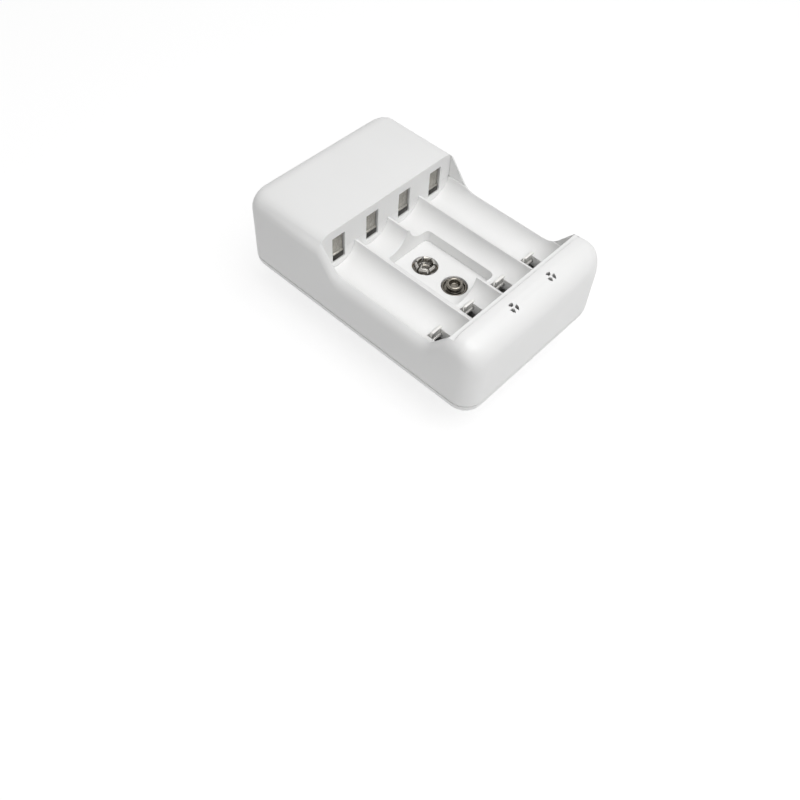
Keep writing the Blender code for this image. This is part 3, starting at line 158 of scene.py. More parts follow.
class Graph:
    """The node tree of a material or a world, with its one shader."""

    def __init__(self, name: str, world: bool = False) -> None:
        """Makes the material, or the world.

        Args:
            name: its name.
            world: whether it is a world.
        """
        self.material = (bpy.data.worlds if world else bpy.data.materials).new(name)
        self.material.use_nodes = True
        self.tree = self.material.node_tree
        self.shader = self.tree.nodes["Background" if world else "Principled BSDF"]

    def node(self, kind: str, settings: dict[str, object] | None = None,
             inputs: dict[object, object] | None = None, out: int | str = 0) -> Wire:
        """Adds any node: its type, then its settings, then its sockets.

        Args:
            kind: the node's type.
            settings: attributes of the node, set first.
            inputs: values or wires by socket name or index.
            out: the output that is returned.

        Returns:
            The chosen output.
        """
        made = self.tree.nodes.new(kind)
        for key, value in (settings or {}).items():
            setattr(made, key, value)
        for key, value in (inputs or {}).items():
            self._feed(made.inputs[key], value)
        return Wire(self, made.outputs[out])

    def _feed(self, socket: bpy.types.NodeSocket, value: object) -> None:
        """Links a wire to a socket, or sets the socket's own value."""
        if isinstance(value, Wire):
            self.tree.links.new(value.socket, socket)
        else:
            socket.default_value = value

    def feed(self, **values: object) -> None:
        """Sets the shader's sockets, with _ for a space in a socket's name."""
        for key, value in values.items():
            self._feed(self.shader.inputs[key.replace("_", " ")], value)

    def place(self, scale: Place = EVEN) -> Wire:
        """Object coordinates, stretched by a Mapping node."""
        where = self.node("ShaderNodeTexCoord", out="Object")
        return self.node("ShaderNodeMapping", inputs={"Vector": where, "Scale": scale})

    def noise(self, where: Wire, size: float, detail: float = 3.0, rough: float = 0.5) -> Wire:
        """Noise whose blotches are about a size in metres."""
        return self.node("ShaderNodeTexNoise", inputs={"Vector": where, "Scale": 1.0 / size, "Detail": detail,
                                                       "Roughness": rough})

    def blend(self, amount: Wire, first: object, second: object) -> Wire:
        """A colour between two colours or wires."""
        return self.node("ShaderNodeMix", {"data_type": "RGBA"}, {0: amount, 6: first, 7: second}, 2)

    def seen(self) -> Wire:
        """One for the rays that show a backdrop: straight from the camera, mirrored or refracted."""
        return sum((self.node("ShaderNodeLightPath", out=f"Is {ray} Ray")
                    for ray in ("Camera", "Glossy", "Transmission")), 0.0)

    def open_ground(self, reach: float) -> Wire:
        """From 0 in a tight hollow of the piece to 1 where none of it stands within a reach in metres."""
        settings = {"samples": 6, "only_local": True}
        return self.node("ShaderNodeAmbientOcclusion", settings, {"Distance": reach}, "AO")

    def relief(self, height: Wire, depth: float, edge: float = 0.0) -> Wire:
        """A normal for a relief of a depth in metres, over edges rounded by a radius in metres."""
        inputs = {"Height": height, "Strength": 1.0, "Distance": depth}
        if edge:
            inputs["Normal"] = self.node("ShaderNodeBevel", {"samples": 6}, {"Radius": edge})
        return self.node("ShaderNodeBump", inputs=inputs)


def tint(colour: Colour, share: float = 1.0) -> tuple[float, float, float, float]:
    """A share of a colour, opaque."""
    return (*(c * share for c in colour), 1.0)


@dataclass(frozen=True)
class Finish:
    """A named finish that makes its own procedural material."""

    name: str

    def make(self) -> bpy.types.Material:
        """The material."""
        raise NotImplementedError


@dataclass(frozen=True)
class SatinPlastic(Finish):
    """Moulded plastic: fine spark-eroded grain, faint flow marks and painted shade in tight hollows."""

    colour: Colour
    shade: float = 0.96             # the flow marks' share of the colour
    rough: float = 0.36
    flow: float = 18 * MM           # size of the flow marks
    grain: float = 0.22 * MM        # size of the grain, its depth, and the edges' rounding
    depth: float = 0.006 * MM
    edge: float = 0.35 * MM
    hollow_shade: float = 0.08              # the painted shade's share of the colour in tight hollows
    reach: float = 1.4 * MM
    opening: float = 2.4            # how soon a hollow counts as open, and how sharply
    sharpness: float = 3.0

    def make(self) -> bpy.types.Material:
        """The material."""
        g = Graph(self.name)
        flow = g.noise(g.place((1.0, 0.35, 1.0)), self.flow, 2.0)
        grain = g.noise(g.place(), self.grain, 2.0, 0.6)
        clean = g.blend(flow, tint(self.colour, self.shade), tint(self.colour))
        # Painted shade: in tight hollows, found by ambient occlusion, the colour falls to a small share of
        # itself.
        unshaded = (g.open_ground(self.reach) * self.opening) ** self.sharpness
        g.feed(Base_Color=g.blend(unshaded, tint(self.colour, self.hollow_shade), clean),
               Roughness=self.rough + (flow - 0.5) * 0.08 + (grain - 0.5) * 0.10,
               Normal=g.relief(grain, self.depth, self.edge), IOR=1.5)
        return g.material


@dataclass(frozen=True)
class PlatedMetal(Finish):
    """Plated sheet or turned metal: draw lines, light scuffs, soft blotches, and painted shade in the hollows
    and below a given height.
    """

    colour: Colour
    rough: float = 0.22
    lines: Place = (1.0, 1.0, 0.06) # how the draw lines are stretched: least along their length
    line: float = 0.12 * MM         # width of the draw lines, their depth, and the edges' rounding
    depth: float = 0.004 * MM
    edge: float = 0.08 * MM
    scuff: float = 0.35 * MM        # size of the scuffs, from which noise on they show, and how dull
    scuffed: float = 0.64
    dulled: float = 0.18
    shade: float = 0.72             # the blotches' share of the colour
    patch: float = 1.6 * MM
    crevice_shade: float = 0.30           # the painted shade's share of the colour in the hollows and below the given height
    reach: float = 0.9 * MM
    foot: float = -1.0              # below this height the plate's colour is darkened all over: painted shade
    metal: float = 1.0

    def make(self) -> bpy.types.Material:
        """The material."""
        g = Graph(self.name)
        drawn = g.noise(g.place(self.lines), self.line, 3.0)
        blotch = g.noise(g.place(), self.patch, 4.0)
        scuff = (g.noise(g.place((1.0, 0.2, 1.0)), self.scuff, 5.0, 0.7) > self.scuffed) * self.dulled
        clean = g.blend(blotch, tint(self.colour, self.shade), tint(self.colour))
        # Painted shade: the colour falls to a small share of itself in tight hollows, found by ambient
        # occlusion, and everywhere below the given height.
        height = g.node("ShaderNodeSeparateXYZ", inputs={0: g.place()}, out="Z")
        unshaded_metal = g.open_ground(self.reach) * (height > self.foot)
        g.feed(Base_Color=g.blend(unshaded_metal, tint(self.colour, self.crevice_shade), clean),
               Roughness=self.rough + (drawn - 0.5) * 0.16 + scuff, Metallic=self.metal,
               Normal=g.relief(drawn, self.depth, self.edge))
        return g.material


@dataclass(frozen=True)
class BoardResist(Finish):
    """Circuit board with lacquered tracks that stand up a little."""

    colour: Colour
    track: Colour
    pitch: float = 9.0 * MM

    def make(self) -> bpy.types.Material:
        """The material."""
        g = Graph(self.name)
        tracks = g.node("ShaderNodeTexBrick", {"offset": 0.5, "squash": 1.0},
                        {"Vector": g.place(), "Scale": 1.0 / self.pitch, "Mortar Size": 0.06}, "Fac")
        weave = g.noise(g.place(), 0.5 * MM)
        g.feed(Base_Color=g.blend(tracks, tint(self.colour), tint(self.track)),
               Roughness=0.42 + (weave - 0.5) * 0.2, Normal=g.relief(tracks + weave * 0.2, 0.03 * MM))
        return g.material


@dataclass(frozen=True)
class ClearRed(Finish):
    """Tinted clear resin of an indicator lamp, with faint streaks."""

    name: str = "lamp_resin"
    deep: Colour = (0.55, 0.03, 0.02)
    pale: Colour = (0.78, 0.09, 0.05)

    def make(self) -> bpy.types.Material:
        """The material."""
        g = Graph(self.name)
        streak = g.noise(g.place(), 0.6 * MM)
        g.feed(Base_Color=g.blend(streak, tint(self.deep), tint(self.pale)),
               Roughness=0.10 + streak * 0.08, Transmission_Weight=0.25)
        return g.material


@dataclass(frozen=True)
class CoatedLayers(Finish):
    """Stacked plates or wound wire: fine even layers along one axis, under varnish."""

    dark: Colour
    light: Colour
    pitch: float
    metallic: float = 0.0

    def make(self) -> bpy.types.Material:
        """The material."""
        g = Graph(self.name)
        layers = g.node("ShaderNodeTexWave", {"wave_type": "BANDS", "bands_direction": "Z"},
                        {"Vector": g.place(), "Scale": 0.16 / self.pitch, "Distortion": 0.4}, "Fac")
        g.feed(Base_Color=g.blend(layers, tint(self.dark), tint(self.light)), Metallic=self.metallic,
               Roughness=0.35 + layers * 0.2, Normal=g.relief(layers, 0.06 * MM))
        return g.material


WHITE = SatinPlastic("white_abs", (0.84, 0.84, 0.835))
PLUG_WHITE = SatinPlastic("plug_white_abs", (0.83, 0.83, 0.83), rough=0.33, grain=0.3 * MM)
SLEEVE_WHITE = SatinPlastic("sleeve_white", (0.86, 0.86, 0.855), rough=0.45, edge=0.1 * MM)
INNER = SatinPlastic("inner_nylon", (0.70, 0.70, 0.68), rough=0.5)
CAN = SatinPlastic("capacitor_shrink", (0.03, 0.035, 0.07), 0.7, 0.3)
# Painted shade: the strips are darkened below 19.55 mm above the back plane, under their kick.
NICKEL = PlatedMetal("nickel_strip", (0.42, 0.405, 0.37), 0.26, shade=0.6, crevice_shade=0.08,
                     foot=BACK_PLANE + 19.55 * MM)
TAB_PLATE = PlatedMetal("nickel_tab", (0.90, 0.89, 0.86), 0.38, (0.06, 1.0, 1.0), shade=0.88, metal=0.55)
DOME_PLATE = PlatedMetal("nickel_dome", (0.66, 0.645, 0.61), 0.27, (0.06, 1.0, 1.0), shade=0.7)
# Painted shade: the snap contacts darken nearly to black in their hollows.
SNAP = PlatedMetal("nickel_snap", (0.70, 0.68, 0.64), 0.16, EVEN, 0.3 * MM, shade=0.5, patch=0.9 * MM,
                   crevice_shade=0.06, reach=1.3 * MM)
STUD_PLATE = PlatedMetal("nickel_stud", (0.34, 0.315, 0.275), 0.20, EVEN, 0.3 * MM, shade=0.35,
                         patch=0.7 * MM, crevice_shade=0.12, reach=1.3 * MM)
PIN_PLATE = PlatedMetal("nickel_pin", (0.70, 0.68, 0.63), 0.20, (1.0, 0.08, 1.0))
ZINC = PlatedMetal("zinc_screw", (0.58, 0.58, 0.585), 0.34, EVEN, 0.25 * MM)
GREEN = BoardResist("green_resist", (0.02, 0.12, 0.05), (0.06, 0.24, 0.10))
BROWN = BoardResist("brown_resist", (0.25, 0.17, 0.07), (0.40, 0.28, 0.14))
CORE = CoatedLayers("core_plates", (0.05, 0.05, 0.055), (0.16, 0.16, 0.17), 0.5 * MM, 0.7)
COPPER = CoatedLayers("enamel_wire", (0.30, 0.10, 0.03), (0.62, 0.30, 0.10), 0.25 * MM, 0.4)
LAMP = ClearRed()


@dataclass
class Workshop:
    """Holds the frame, makes each finish once and places finished pieces."""

    frame: dict[str, object]
    made: dict[str, bpy.types.Material] = field(default_factory=dict)

    def finish(self, finish: Finish) -> bpy.types.Material:
        """The material of a finish, made at its first use."""
        if finish.name not in self.made:
            self.made[finish.name] = finish.make()
        return self.made[finish.name]

    def coat(self, node: str, finish: Finish) -> None:
        """Gives a node that is shown as it is its finish."""
        materials = self.frame["nodes"][node].data.materials
        materials.clear()
        materials.append(self.finish(finish))
        LOG.info("node %s coated with %s", node, finish.name)

    def seat(self, piece: bpy.types.Object, body: Body, finish: Finish, slot: Slot, *nodes: str) -> None:
        """Dresses a finished piece and hangs it on its body.

        Args:
            piece: the finished object, in place.
            body: the body that it rides on.
            finish: its finish.
            slot: not used.
            nodes: the nodes that it stands for.
        """
        piece.data.materials.clear()
        piece.data.materials.append(self.finish(finish))
        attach(piece, body.value)
        if nodes:
            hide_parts(*nodes)
        LOG.info("piece %s: %d faces", piece.name, len(piece.data.polygons))

    def refine(self, node: str, body: Body, finish: Finish, slot: Slot,
               angle: float = 32.0) -> bpy.types.Object:
        """Shows a node by a merged copy that is smooth across its small facets.

        Args:
            node: the node.
            body: its body.
            finish: its finish.
            slot: the record's material slot.
            angle: facets that meet at less than this are shaded as one surface, in degrees.

        Returns:
            The copy.
        """
        mesh = self.frame["nodes"][node].data.copy()
        bm = bmesh.new()
        bm.from_mesh(mesh)
        bmesh.ops.remove_doubles(bm, verts=bm.verts, dist=WELD)
        bmesh.ops.dissolve_limit(bm, angle_limit=math.radians(LEVEL_ANGLE), verts=bm.verts, edges=bm.edges)
        bm.to_mesh(mesh)
        bm.free()
        for name in [a.name for a in mesh.attributes if a.name == "custom_normal"]:
            mesh.attributes.remove(mesh.attributes[name])
        mesh.shade_smooth()
        mesh.set_sharp_from_angle(angle=math.radians(angle))
        copy = bpy.data.objects.new(f"{node}_surface", mesh)
        bpy.context.scene.collection.objects.link(copy)
        self.seat(copy, body, finish, slot, node)
        return copy


def grid_piece(name: str, points: np.ndarray, closed_u: bool, closed_v: bool) -> bpy.types.Object:
    """A surface from a grid of points: point (i, j) joins (i + 1, j), (i + 1, j + 1) and (i, j + 1).

    Args:
        name: the piece's name.
        points: array of shape (rows, columns, 3).
        closed_u: whether the last row joins the first.
        closed_v: whether the last column joins the first.

    Returns:
        The new object, with its doubled points merged and its faces outwards.
    """
    rows, columns = points.shape[:2]
    index = np.arange(rows * columns).reshape(rows, columns)
    u = np.arange(rows if closed_u else rows - 1)
    v = np.arange(columns if closed_v else columns - 1)
    low_u, low_v = np.meshgrid(u, v, indexing="ij")
    next_u, next_v = (low_u + 1) % rows, (low_v + 1) % columns
    quads = np.stack([index[low_u, low_v], index[next_u, low_v],
                      index[next_u, next_v], index[low_u, next_v]], -1)
    mesh = bpy.data.meshes.new(name)
    mesh.from_pydata(points.reshape(-1, 3), [], quads.reshape(-1, 4))
    bm = bmesh.new()
    bm.from_mesh(mesh)
    bmesh.ops.remove_doubles(bm, verts=bm.verts, dist=MERGE)
    bmesh.ops.dissolve_degenerate(bm, dist=MERGE, edges=bm.edges)
    bmesh.ops.recalc_face_normals(bm, faces=bm.faces)
    bm.to_mesh(mesh)
    bm.free()
    mesh.shade_smooth()
    mesh.set_sharp_from_angle(angle=math.radians(SMOOTH_ANGLE))
    piece = bpy.data.objects.new(name, mesh)
    bpy.context.scene.collection.objects.link(piece)
    return piece


def shut(rings: np.ndarray) -> np.ndarray:
    """Closes a stack of rings by one more ring at each end, with all its points at the end ring's middle."""
    first = np.broadcast_to(rings[:1].mean(axis=1, keepdims=True), rings[:1].shape)
    last = np.broadcast_to(rings[-1:].mean(axis=1, keepdims=True), rings[-1:].shape)
    return np.concatenate([first, rings, last])


def revolve(name: str, profile: np.ndarray, centre: Place, axis: Place = (0.0, 0.0, 1.0), sides: int = 72,
            form: Callable[[np.ndarray, np.ndarray, np.ndarray], Pair] | None = None) -> bpy.types.Object:
    """A turned piece: radius r and height h of the profile go round the axis as (r cos a, r sin a, h).

    Args:
        name: the piece's name.
        profile: array of (radius, height), open or closed.
        centre: where radius and height are zero.
        axis: direction of the height.
        sides: points round the axis.
        form: gives a new radius and height from radius, height and angle, for flats, flutes and recesses.

    Returns:
        The new object.
    """
    angle = np.linspace(0, 2 * math.pi, sides, endpoint=False)[None, :]
    closed = bool(np.allclose(profile[0], profile[-1]))
    line = profile[:-1] if closed else profile
    radius = np.repeat(line[:, :1], sides, axis=1)
    height = np.repeat(line[:, 1:], sides, axis=1)
    if form:
        radius, height = form(radius, height, angle)
    points = np.stack([radius * np.cos(angle), radius * np.sin(angle), height], -1)
    turn = np.array(Vector(axis).to_track_quat("Z", "Y").to_matrix())
    return grid_piece(name, points @ turn.T + np.array(centre), closed, True)


def strap(name: str, path: np.ndarray, x: float, width: float, thickness: float) -> bpy.types.Object:
    """A bent strap: its rounded section is carried along a path in the YZ plane and stands square to it.

    A point (u, v) of the section at path point p with side direction n becomes (x + u, p + v n).

    Args:
        name: the piece's name.
        path: array of (y, z).
        x: middle of the strap.
        width: its width along X.
        thickness: the sheet's thickness.

    Returns:
        The new object.
    """
    u, v = width / 2, thickness / 2
    ring = rounded(((-u, -v), (u, -v), (u, v), (-u, v), (-u, -v)), 0.3 * thickness, 3, True)[:-1]
    run = np.gradient(path, axis=0)
    run /= np.linalg.norm(run, axis=1)[:, None]
    side = np.stack([-run[:, 1], run[:, 0]], -1)
    across = np.broadcast_to(x + ring[:, 0], (len(path), len(ring)))
    flat = path[:, None, :] + ring[None, :, 1:] * side[:, None, :]
    return grid_piece(name, shut(np.concatenate([across[..., None], flat], -1)), False, True)


def pressed_plate(name: str, centre: Place, half: float, sheet: float,
                  relief: Callable[[np.ndarray, np.ndarray], np.ndarray],
                  steps: int = 56) -> bpy.types.Object:
    """A square sheet in the XZ plane, pressed out along +Y: front y = relief(u, v), back y = front - sheet.

    Args:
        name: the piece's name.
        centre: middle of the unpressed front.
        half: half the side.
        sheet: thickness.
        relief: how far the front stands out at (u, v) from the middle.
        steps: cells along each side.

    Returns:
        The new object.
    """
    line = np.linspace(-half, half, steps + 1)
    u, v = np.meshgrid(line, line, indexing="ij")
    front = relief(u, v)
    u, v = np.concatenate([u, u[:, ::-1]], 1), np.concatenate([v, v[:, ::-1]], 1)
    out = np.concatenate([front, front[:, ::-1] - sheet], 1)
    points = np.stack([centre[0] + u, centre[1] + out, centre[2] + v], -1)
    return grid_piece(name, shut(points), False, True)


def ramp(value: np.ndarray, soft: float) -> np.ndarray:
    """Rises smoothly from 0 to 1 as a value goes from minus soft to soft: 3t^2 - 2t^3."""
    t = np.clip(value / (2 * soft) + 0.5, 0, 1)
    return t * t * (3 - 2 * t)


def rounded(points: tuple[Point, ...], radius: float, steps: int = 4, closed: bool = False) -> np.ndarray:
    """Rounds the corners of a polyline.

    Each corner becomes a quadratic curve between the points a and b, a radius before and after it:
    (1-t)^2 a + 2t(1-t) corner + t^2 b.

    Args:
        points: the corners; a closed line ends where it starts.
        radius: how far from its corner a curve starts, at most a share of the edge.
        steps: pieces of each curve.
        closed: whether the line is closed.

    Returns:
        Array of points.
    """
    corner = np.array(points[:-1] if closed else points, float)
    t = np.linspace(0, 1, steps + 1)[:, None]

    def side(shift: int) -> np.ndarray:
        """The point of each corner's curve on the edge to a neighbour."""
        edge = np.roll(corner, shift, axis=0) - corner
        length = np.linalg.norm(edge, axis=1)[:, None]
        return (corner + edge / length * np.minimum(radius, CORNER_SHARE * length))[:, None]

    curve = (1 - t) ** 2 * side(1) + 2 * t * (1 - t) * corner[:, None] + t ** 2 * side(-1)
    if closed:
        line = curve.reshape(-1, 2)
        return np.concatenate([line, line[:1]])
    return np.concatenate([corner[:1], curve[1:-1].reshape(-1, 2), corner[-1:]])


@dataclass
class CrossScrew:
    """A pan-head screw with a cross recess."""

    radius: float = 1.1 * MM
    head: float = 1.9 * MM
    height: float = 1.3 * MM
    arm: float = 1.05 * MM
    slot: float = 0.23 * MM
    depth: float = 0.75 * MM
    soft: float = 0.05 * MM         # softness of the recess's edge
    shallow: float = 0.45           # how much shallower the recess is at its arms' ends than in the middle
    crown: float = 0.10             # how much lower than its middle the head's edge is
    flat: float = 0.72              # share of the head's radius that the crown covers
    rings: int = 34                 # points along the crown
    edge: float = 0.35 * MM
    sides: int = 96

    def _recess(self, radius: np.ndarray, height: np.ndarray, angle: np.ndarray) -> Pair:
        """Sinks the top of the head inside a cross: two bars |x| < slot, |y| < arm and the same turned by 90
        degrees, deepest at the middle."""
        x, y = np.abs(radius * np.cos(angle)), np.abs(radius * np.sin(angle))
        bar = np.maximum(ramp(self.slot - x, self.soft) * ramp(self.arm - y, 3 * self.soft),
                         ramp(self.slot - y, self.soft) * ramp(self.arm - x, 3 * self.soft))
        deep = self.depth * (1 - self.shallow * radius / self.arm)
        return radius, height - np.where(height > 0.5 * self.height, bar * deep, 0.0)

    def build(self, shop: Workshop, node: str, body: Body, seat: Place, axis: Place, tip: float) -> None:
        """Makes one screw in place of its node.

        Args:
            shop: the workshop.
            node: the node that it replaces.
            body: the body that it rides on.
            seat: where the underside of its head lies.
            axis: outward direction.
            tip: length below the head.
        """
        flat = np.linspace(0, self.flat * self.head, self.rings)
        crown = np.stack([flat, self.height * (1 - self.crown * (flat / self.head) ** 2)], -1)
        rim = rounded((tuple(crown[-1]), (0.96 * self.head, 0.72 * self.height),
                       (self.head, 0.35 * self.height), (self.head, 0.0), (self.radius, 0.0),
                       (self.radius, -tip), (0.0, -tip)), self.edge)
        profile = np.concatenate([crown[:-1], rim])
        piece = revolve(f"{node}_turned", profile, seat, axis, self.sides, self._recess)
        shop.seat(piece, body, ZINC, Slot.STEEL, node)


@dataclass
class Shells:
    """The two halves of the housing and their screws."""

    top: str = "top_housing"
    cover: str = "back_cover"
    screw_x: float = 23.2 * MM
    screw_y: float = NOSE_END + 90.0 * MM
    screw_z: float = BACK_PLANE + 2.3 * MM
    screw_length: float = 9.0 * MM

    def build(self, shop: Workshop) -> None:
        """Refines both halves and makes the screws."""
        shop.refine(self.top, Body.HOUSING, WHITE, Slot.WHITE)
        shop.refine(self.cover, Body.HOUSING, WHITE, Slot.WHITE)
        for word, side in SIDES:
            seat = (side * self.screw_x, self.screw_y, self.screw_z)
            CrossScrew().build(shop, f"case_screw_{word}", Body.HOUSING, seat, DOWN, self.screw_length)


@dataclass
class CellContacts:
    """Strips, domed plates and fold-down tabs of the four bays."""

    pitch: float = 15.0 * MM
    sheet: float = 0.4 * MM
    strip_width: float = 4.4 * MM
    strip_path: tuple[Point, ...] = ((64.3, 26.6), (64.3, 20.0), (63.85, 19.75), (63.85, 17.35),
                                     (65.6, 17.35), (65.6, 11.1), (71.2, 11.1))
    strip_bend: float = 0.25
    plate_half: float = 4.4 * MM
    plate_sheet: float = 0.45 * MM
    plate_face: float = 12.0 * MM
    plate_height: float = 21.9 * MM
    dome_radius: float = 2.6 * MM
    dome_rise: float = 1.2 * MM
    ring_radius: float = 3.3 * MM
    ring_width: float = 0.25 * MM
    ring_depth: float = 0.12 * MM
    tab_width: float = 4.2 * MM
    tab_sheet: float = 0.6 * MM
    tab_path: tuple[Point, ...] = ((22.4, 12.9), (22.4, 16.9), (21.5, 16.9))
    tab_bend: float = 0.45
    rod_radius: float = 0.7 * MM
    rod_length: float = 6.4 * MM
    rod_edge: float = 0.15 * MM
    rod_sides: int = 28

    def _path(self, points: tuple[Point, ...], radius: float) -> np.ndarray:
        """World (y, z) of a path in millimetres from the nose's end and above the back plane, rounded."""
        path = rounded(points, radius, 6) * MM
        keep = np.concatenate([[True], np.linalg.norm(np.diff(path, axis=0), axis=1) > SAME_POINT])
        return path[keep] + np.array([NOSE_END, BACK_PLANE])

    def _dome(self, u: np.ndarray, v: np.ndarray) -> np.ndarray:
        """A cap inside the dome's radius R, rise * sqrt(1 - (r / R)^2), with a soft ring pressed round it."""
        r = np.hypot(u, v)
        cap = self.dome_rise * np.sqrt(np.clip(1 - (r / self.dome_radius) ** 2, 0, 1))
        ring = np.exp(-((r - self.ring_radius) / self.ring_width) ** 2)
        return cap - self.ring_depth * ring

    def build(self, shop: Workshop) -> None:
        """Makes each bay's three contacts."""
        strip = self._path(self.strip_path, self.strip_bend)
        tab = self._path(self.tab_path, self.tab_bend)
        bar = rounded(((0, 0), (self.rod_radius, 0), (self.rod_radius, self.rod_length),
                       (0, self.rod_length)), self.rod_edge)
        for i, body in enumerate((Body.TAB_1, Body.TAB_2, Body.TAB_3, Body.TAB_4), 1):
            x = (i - 2.5) * self.pitch
            piece = strap(f"strip_{i}", strip, x, self.strip_width, self.sheet)
            shop.seat(piece, Body.HOUSING, NICKEL, Slot.CONTACT, f"positive_contact_{i}")
            centre = (x, NOSE_END + self.plate_face, BACK_PLANE + self.plate_height)
            piece = pressed_plate(f"domed_plate_{i}", centre, self.plate_half, self.plate_sheet, self._dome)
            shop.seat(piece, Body.HOUSING, DOME_PLATE, Slot.CONTACT, f"negative_contact_{i}")
            piece = strap(f"tab_{i}", tab, x, self.tab_width, self.tab_sheet)
            shop.seat(piece, body, TAB_PLATE, Slot.CONTACT, f"aaa_contact_{i}")
            start = (x - self.rod_length / 2, *(float(c) for c in tab[0]))
            piece = revolve(f"tab_rod_{i}", bar, start, (1, 0, 0), self.rod_sides)
            shop.seat(piece, body, TAB_PLATE, Slot.CONTACT)


@dataclass
class SnapPair:
    """The two contacts of the 9 V pocket: a socket of six sprung petals and a stud inside a cup."""

    foot: float = BACK_PLANE + 8.7 * MM
    socket_y: float = NOSE_END + 46.35 * MM
    stud_y: float = NOSE_END + 33.65 * MM
    petals: int = 6
    slit: float = 0.30 * MM
    slit_foot: float = 0.8 * MM
    slit_radius: float = 3.3 * MM
    petal_start: float = 2.4 * MM   # radius outside which the cup is petals
    petal_flat: float = 0.65        # share of the six-sided outline in the petals' form
    soft: float = 0.05 * MM
    cup: tuple[Point, ...] = (
        (2.70, 2.95), (3.05, 3.20), (3.45, 3.15), (3.70, 2.30), (3.62, 1.20), (3.58, 0.55), (4.10, 0.50),
        (4.10, 0.0), (0.0, 0.0), (0.0, 0.35), (2.95, 0.35), (3.10, 1.20), (3.22, 2.20), (2.95, 2.70),
        (2.70, 2.95))
    cup_bend: float = 0.22
    cup_sides: int = 240
    knob: tuple[Point, ...] = (
        (0.0, 1.70), (1.30, 1.75), (1.70, 3.15), (2.15, 3.40), (2.60, 3.20), (2.85, 2.75), (2.80, 2.35),
        (2.35, 1.80), (2.35, 1.00), (3.35, 0.90), (3.55, 1.60), (4.00, 1.60), (4.10, 1.20), (4.10, 0.0),
        (0.0, 0.0))
    knob_bend: float = 0.25
    knob_sides: int = 96

    def _petals(self, radius: np.ndarray, height: np.ndarray, angle: np.ndarray) -> Pair:
        """Six flat petals with slits between them.

        Above the slit's foot the radius follows a six-sided outline, r cos(30) / cos(a mod 60 - 30), for the
        greater part, and inside a slit the height falls to the slit's foot.
        """
        sector = 2 * math.pi / self.petals
        inside = np.mod(angle, sector) - sector / 2
        flat = math.cos(sector / 2) / np.cos(inside)
        wall = (height > self.slit_foot) & (radius > self.petal_start)
        outline = 1 - self.petal_flat + self.petal_flat * flat / flat.max()
        shaped = np.where(wall, radius * outline, radius)
        across = (sector / 2 - np.abs(inside)) * self.slit_radius
        cut = ramp(self.slit - across, self.soft)
        return shaped, np.where(wall, height - cut * (height - self.slit_foot), height)

    def build(self, shop: Workshop) -> None:
        """Makes both."""
        cup = rounded(self.cup, self.cup_bend, 4, True) * MM
        place = (0.0, self.socket_y, self.foot)
        socket = revolve("petal_socket", cup, place, sides=self.cup_sides, form=self._petals)
        shop.seat(socket, Body.HOUSING, SNAP, Slot.CONTACT, "snap_socket")
        knob = rounded(self.knob, self.knob_bend, 5) * MM
        stud = revolve("rimmed_stud", knob, (0.0, self.stud_y, self.foot), sides=self.knob_sides)
        shop.seat(stud, Body.HOUSING, STUD_PLATE, Slot.CONTACT, "snap_stud")
        shop.coat("snap_board", BROWN)


@dataclass
class PlugUnit:
    """The swivelling disc and the folding plug."""

    hinge_y: float = NOSE_END + 65.5 * MM
    hinge_z: float = BACK_PLANE - 5.0 * MM
    front: float = NOSE_END + 39.5 * MM
    screw_y: float = NOSE_END + 43.5 * MM
    screw_z: float = 2.3 * MM
    screw_length: float = 9.0 * MM
    pin_x: float = 9.3 * MM
    pin_z: float = BACK_PLANE - 6.5 * MM
    set_screw_x: float = 14.6 * MM
    set_screw_rise: float = 6.5 * MM
    set_screw_lean: float = 20.0
    set_screw_length: float = 5.0 * MM
    pin_sides: int = 64
    pin: tuple[Point, ...] = (
        (0.0, 19.0), (0.9, 19.0), (1.65, 18.65), (2.0, 17.9), (2.0, 10.55), (1.9, 10.45), (1.3, 10.45),
        (1.3, -6.0), (0.0, -6.0))
    pin_bend: float = 0.45
    sleeve: tuple[Point, ...] = ((1.6, 10.2), (2.0, 10.2), (2.0, -4.8), (1.6, -4.8), (1.6, 10.2))
    sleeve_bend: float = 0.12

    def _pins(self, shop: Workshop) -> None:
        """The mains pins with round tips, and their sleeves."""
        metal = rounded(self.pin, self.pin_bend, 6) * MM
        tube = rounded(self.sleeve, self.sleeve_bend, 3, True) * MM
        for word, side in SIDES:
            root = (side * self.pin_x, self.front, self.pin_z)
            pin = revolve(f"round_pin_{word}", metal, root, (0, -1, 0), self.pin_sides)
            shop.seat(pin, Body.PLUG, PIN_PLATE, Slot.PIN, f"mains_pin_{word}")
            sleeve = revolve(f"tube_sleeve_{word}", tube, root, (0, -1, 0), self.pin_sides)
            shop.seat(sleeve, Body.PLUG, SLEEVE_WHITE, Slot.WHITE, f"pin_sleeve_{word}")

    def build(self, shop: Workshop) -> None:
        """Refines the disc and the plug, and makes the pins and the screws."""
        shop.refine("turntable", Body.SWIVEL, PLUG_WHITE, Slot.WHITE)
        shop.coat("hub_ring", INNER)
        shop.refine("plug_body", Body.PLUG, PLUG_WHITE, Slot.WHITE)
        shop.coat("plug_cover", PLUG_WHITE)
        self._pins(shop)
        seat = (0.0, self.screw_y, self.screw_z)
        CrossScrew().build(shop, "plug_screw", Body.PLUG, seat, DOWN, self.screw_length)
        lean = math.radians(self.set_screw_lean)
        out = Vector((0.0, math.sin(lean), -math.cos(lean)))
        for word, side in SIDES:
            shop.coat(f"hub_screw_{word}", ZINC)
            shop.coat(f"hinge_pin_{word}", ZINC)
            seat = Vector((side * self.set_screw_x, self.hinge_y, self.hinge_z)) + out * self.set_screw_rise
            CrossScrew().build(shop, f"set_screw_{word}", Body.PLUG, tuple(seat), tuple(out),
                               self.set_screw_length)


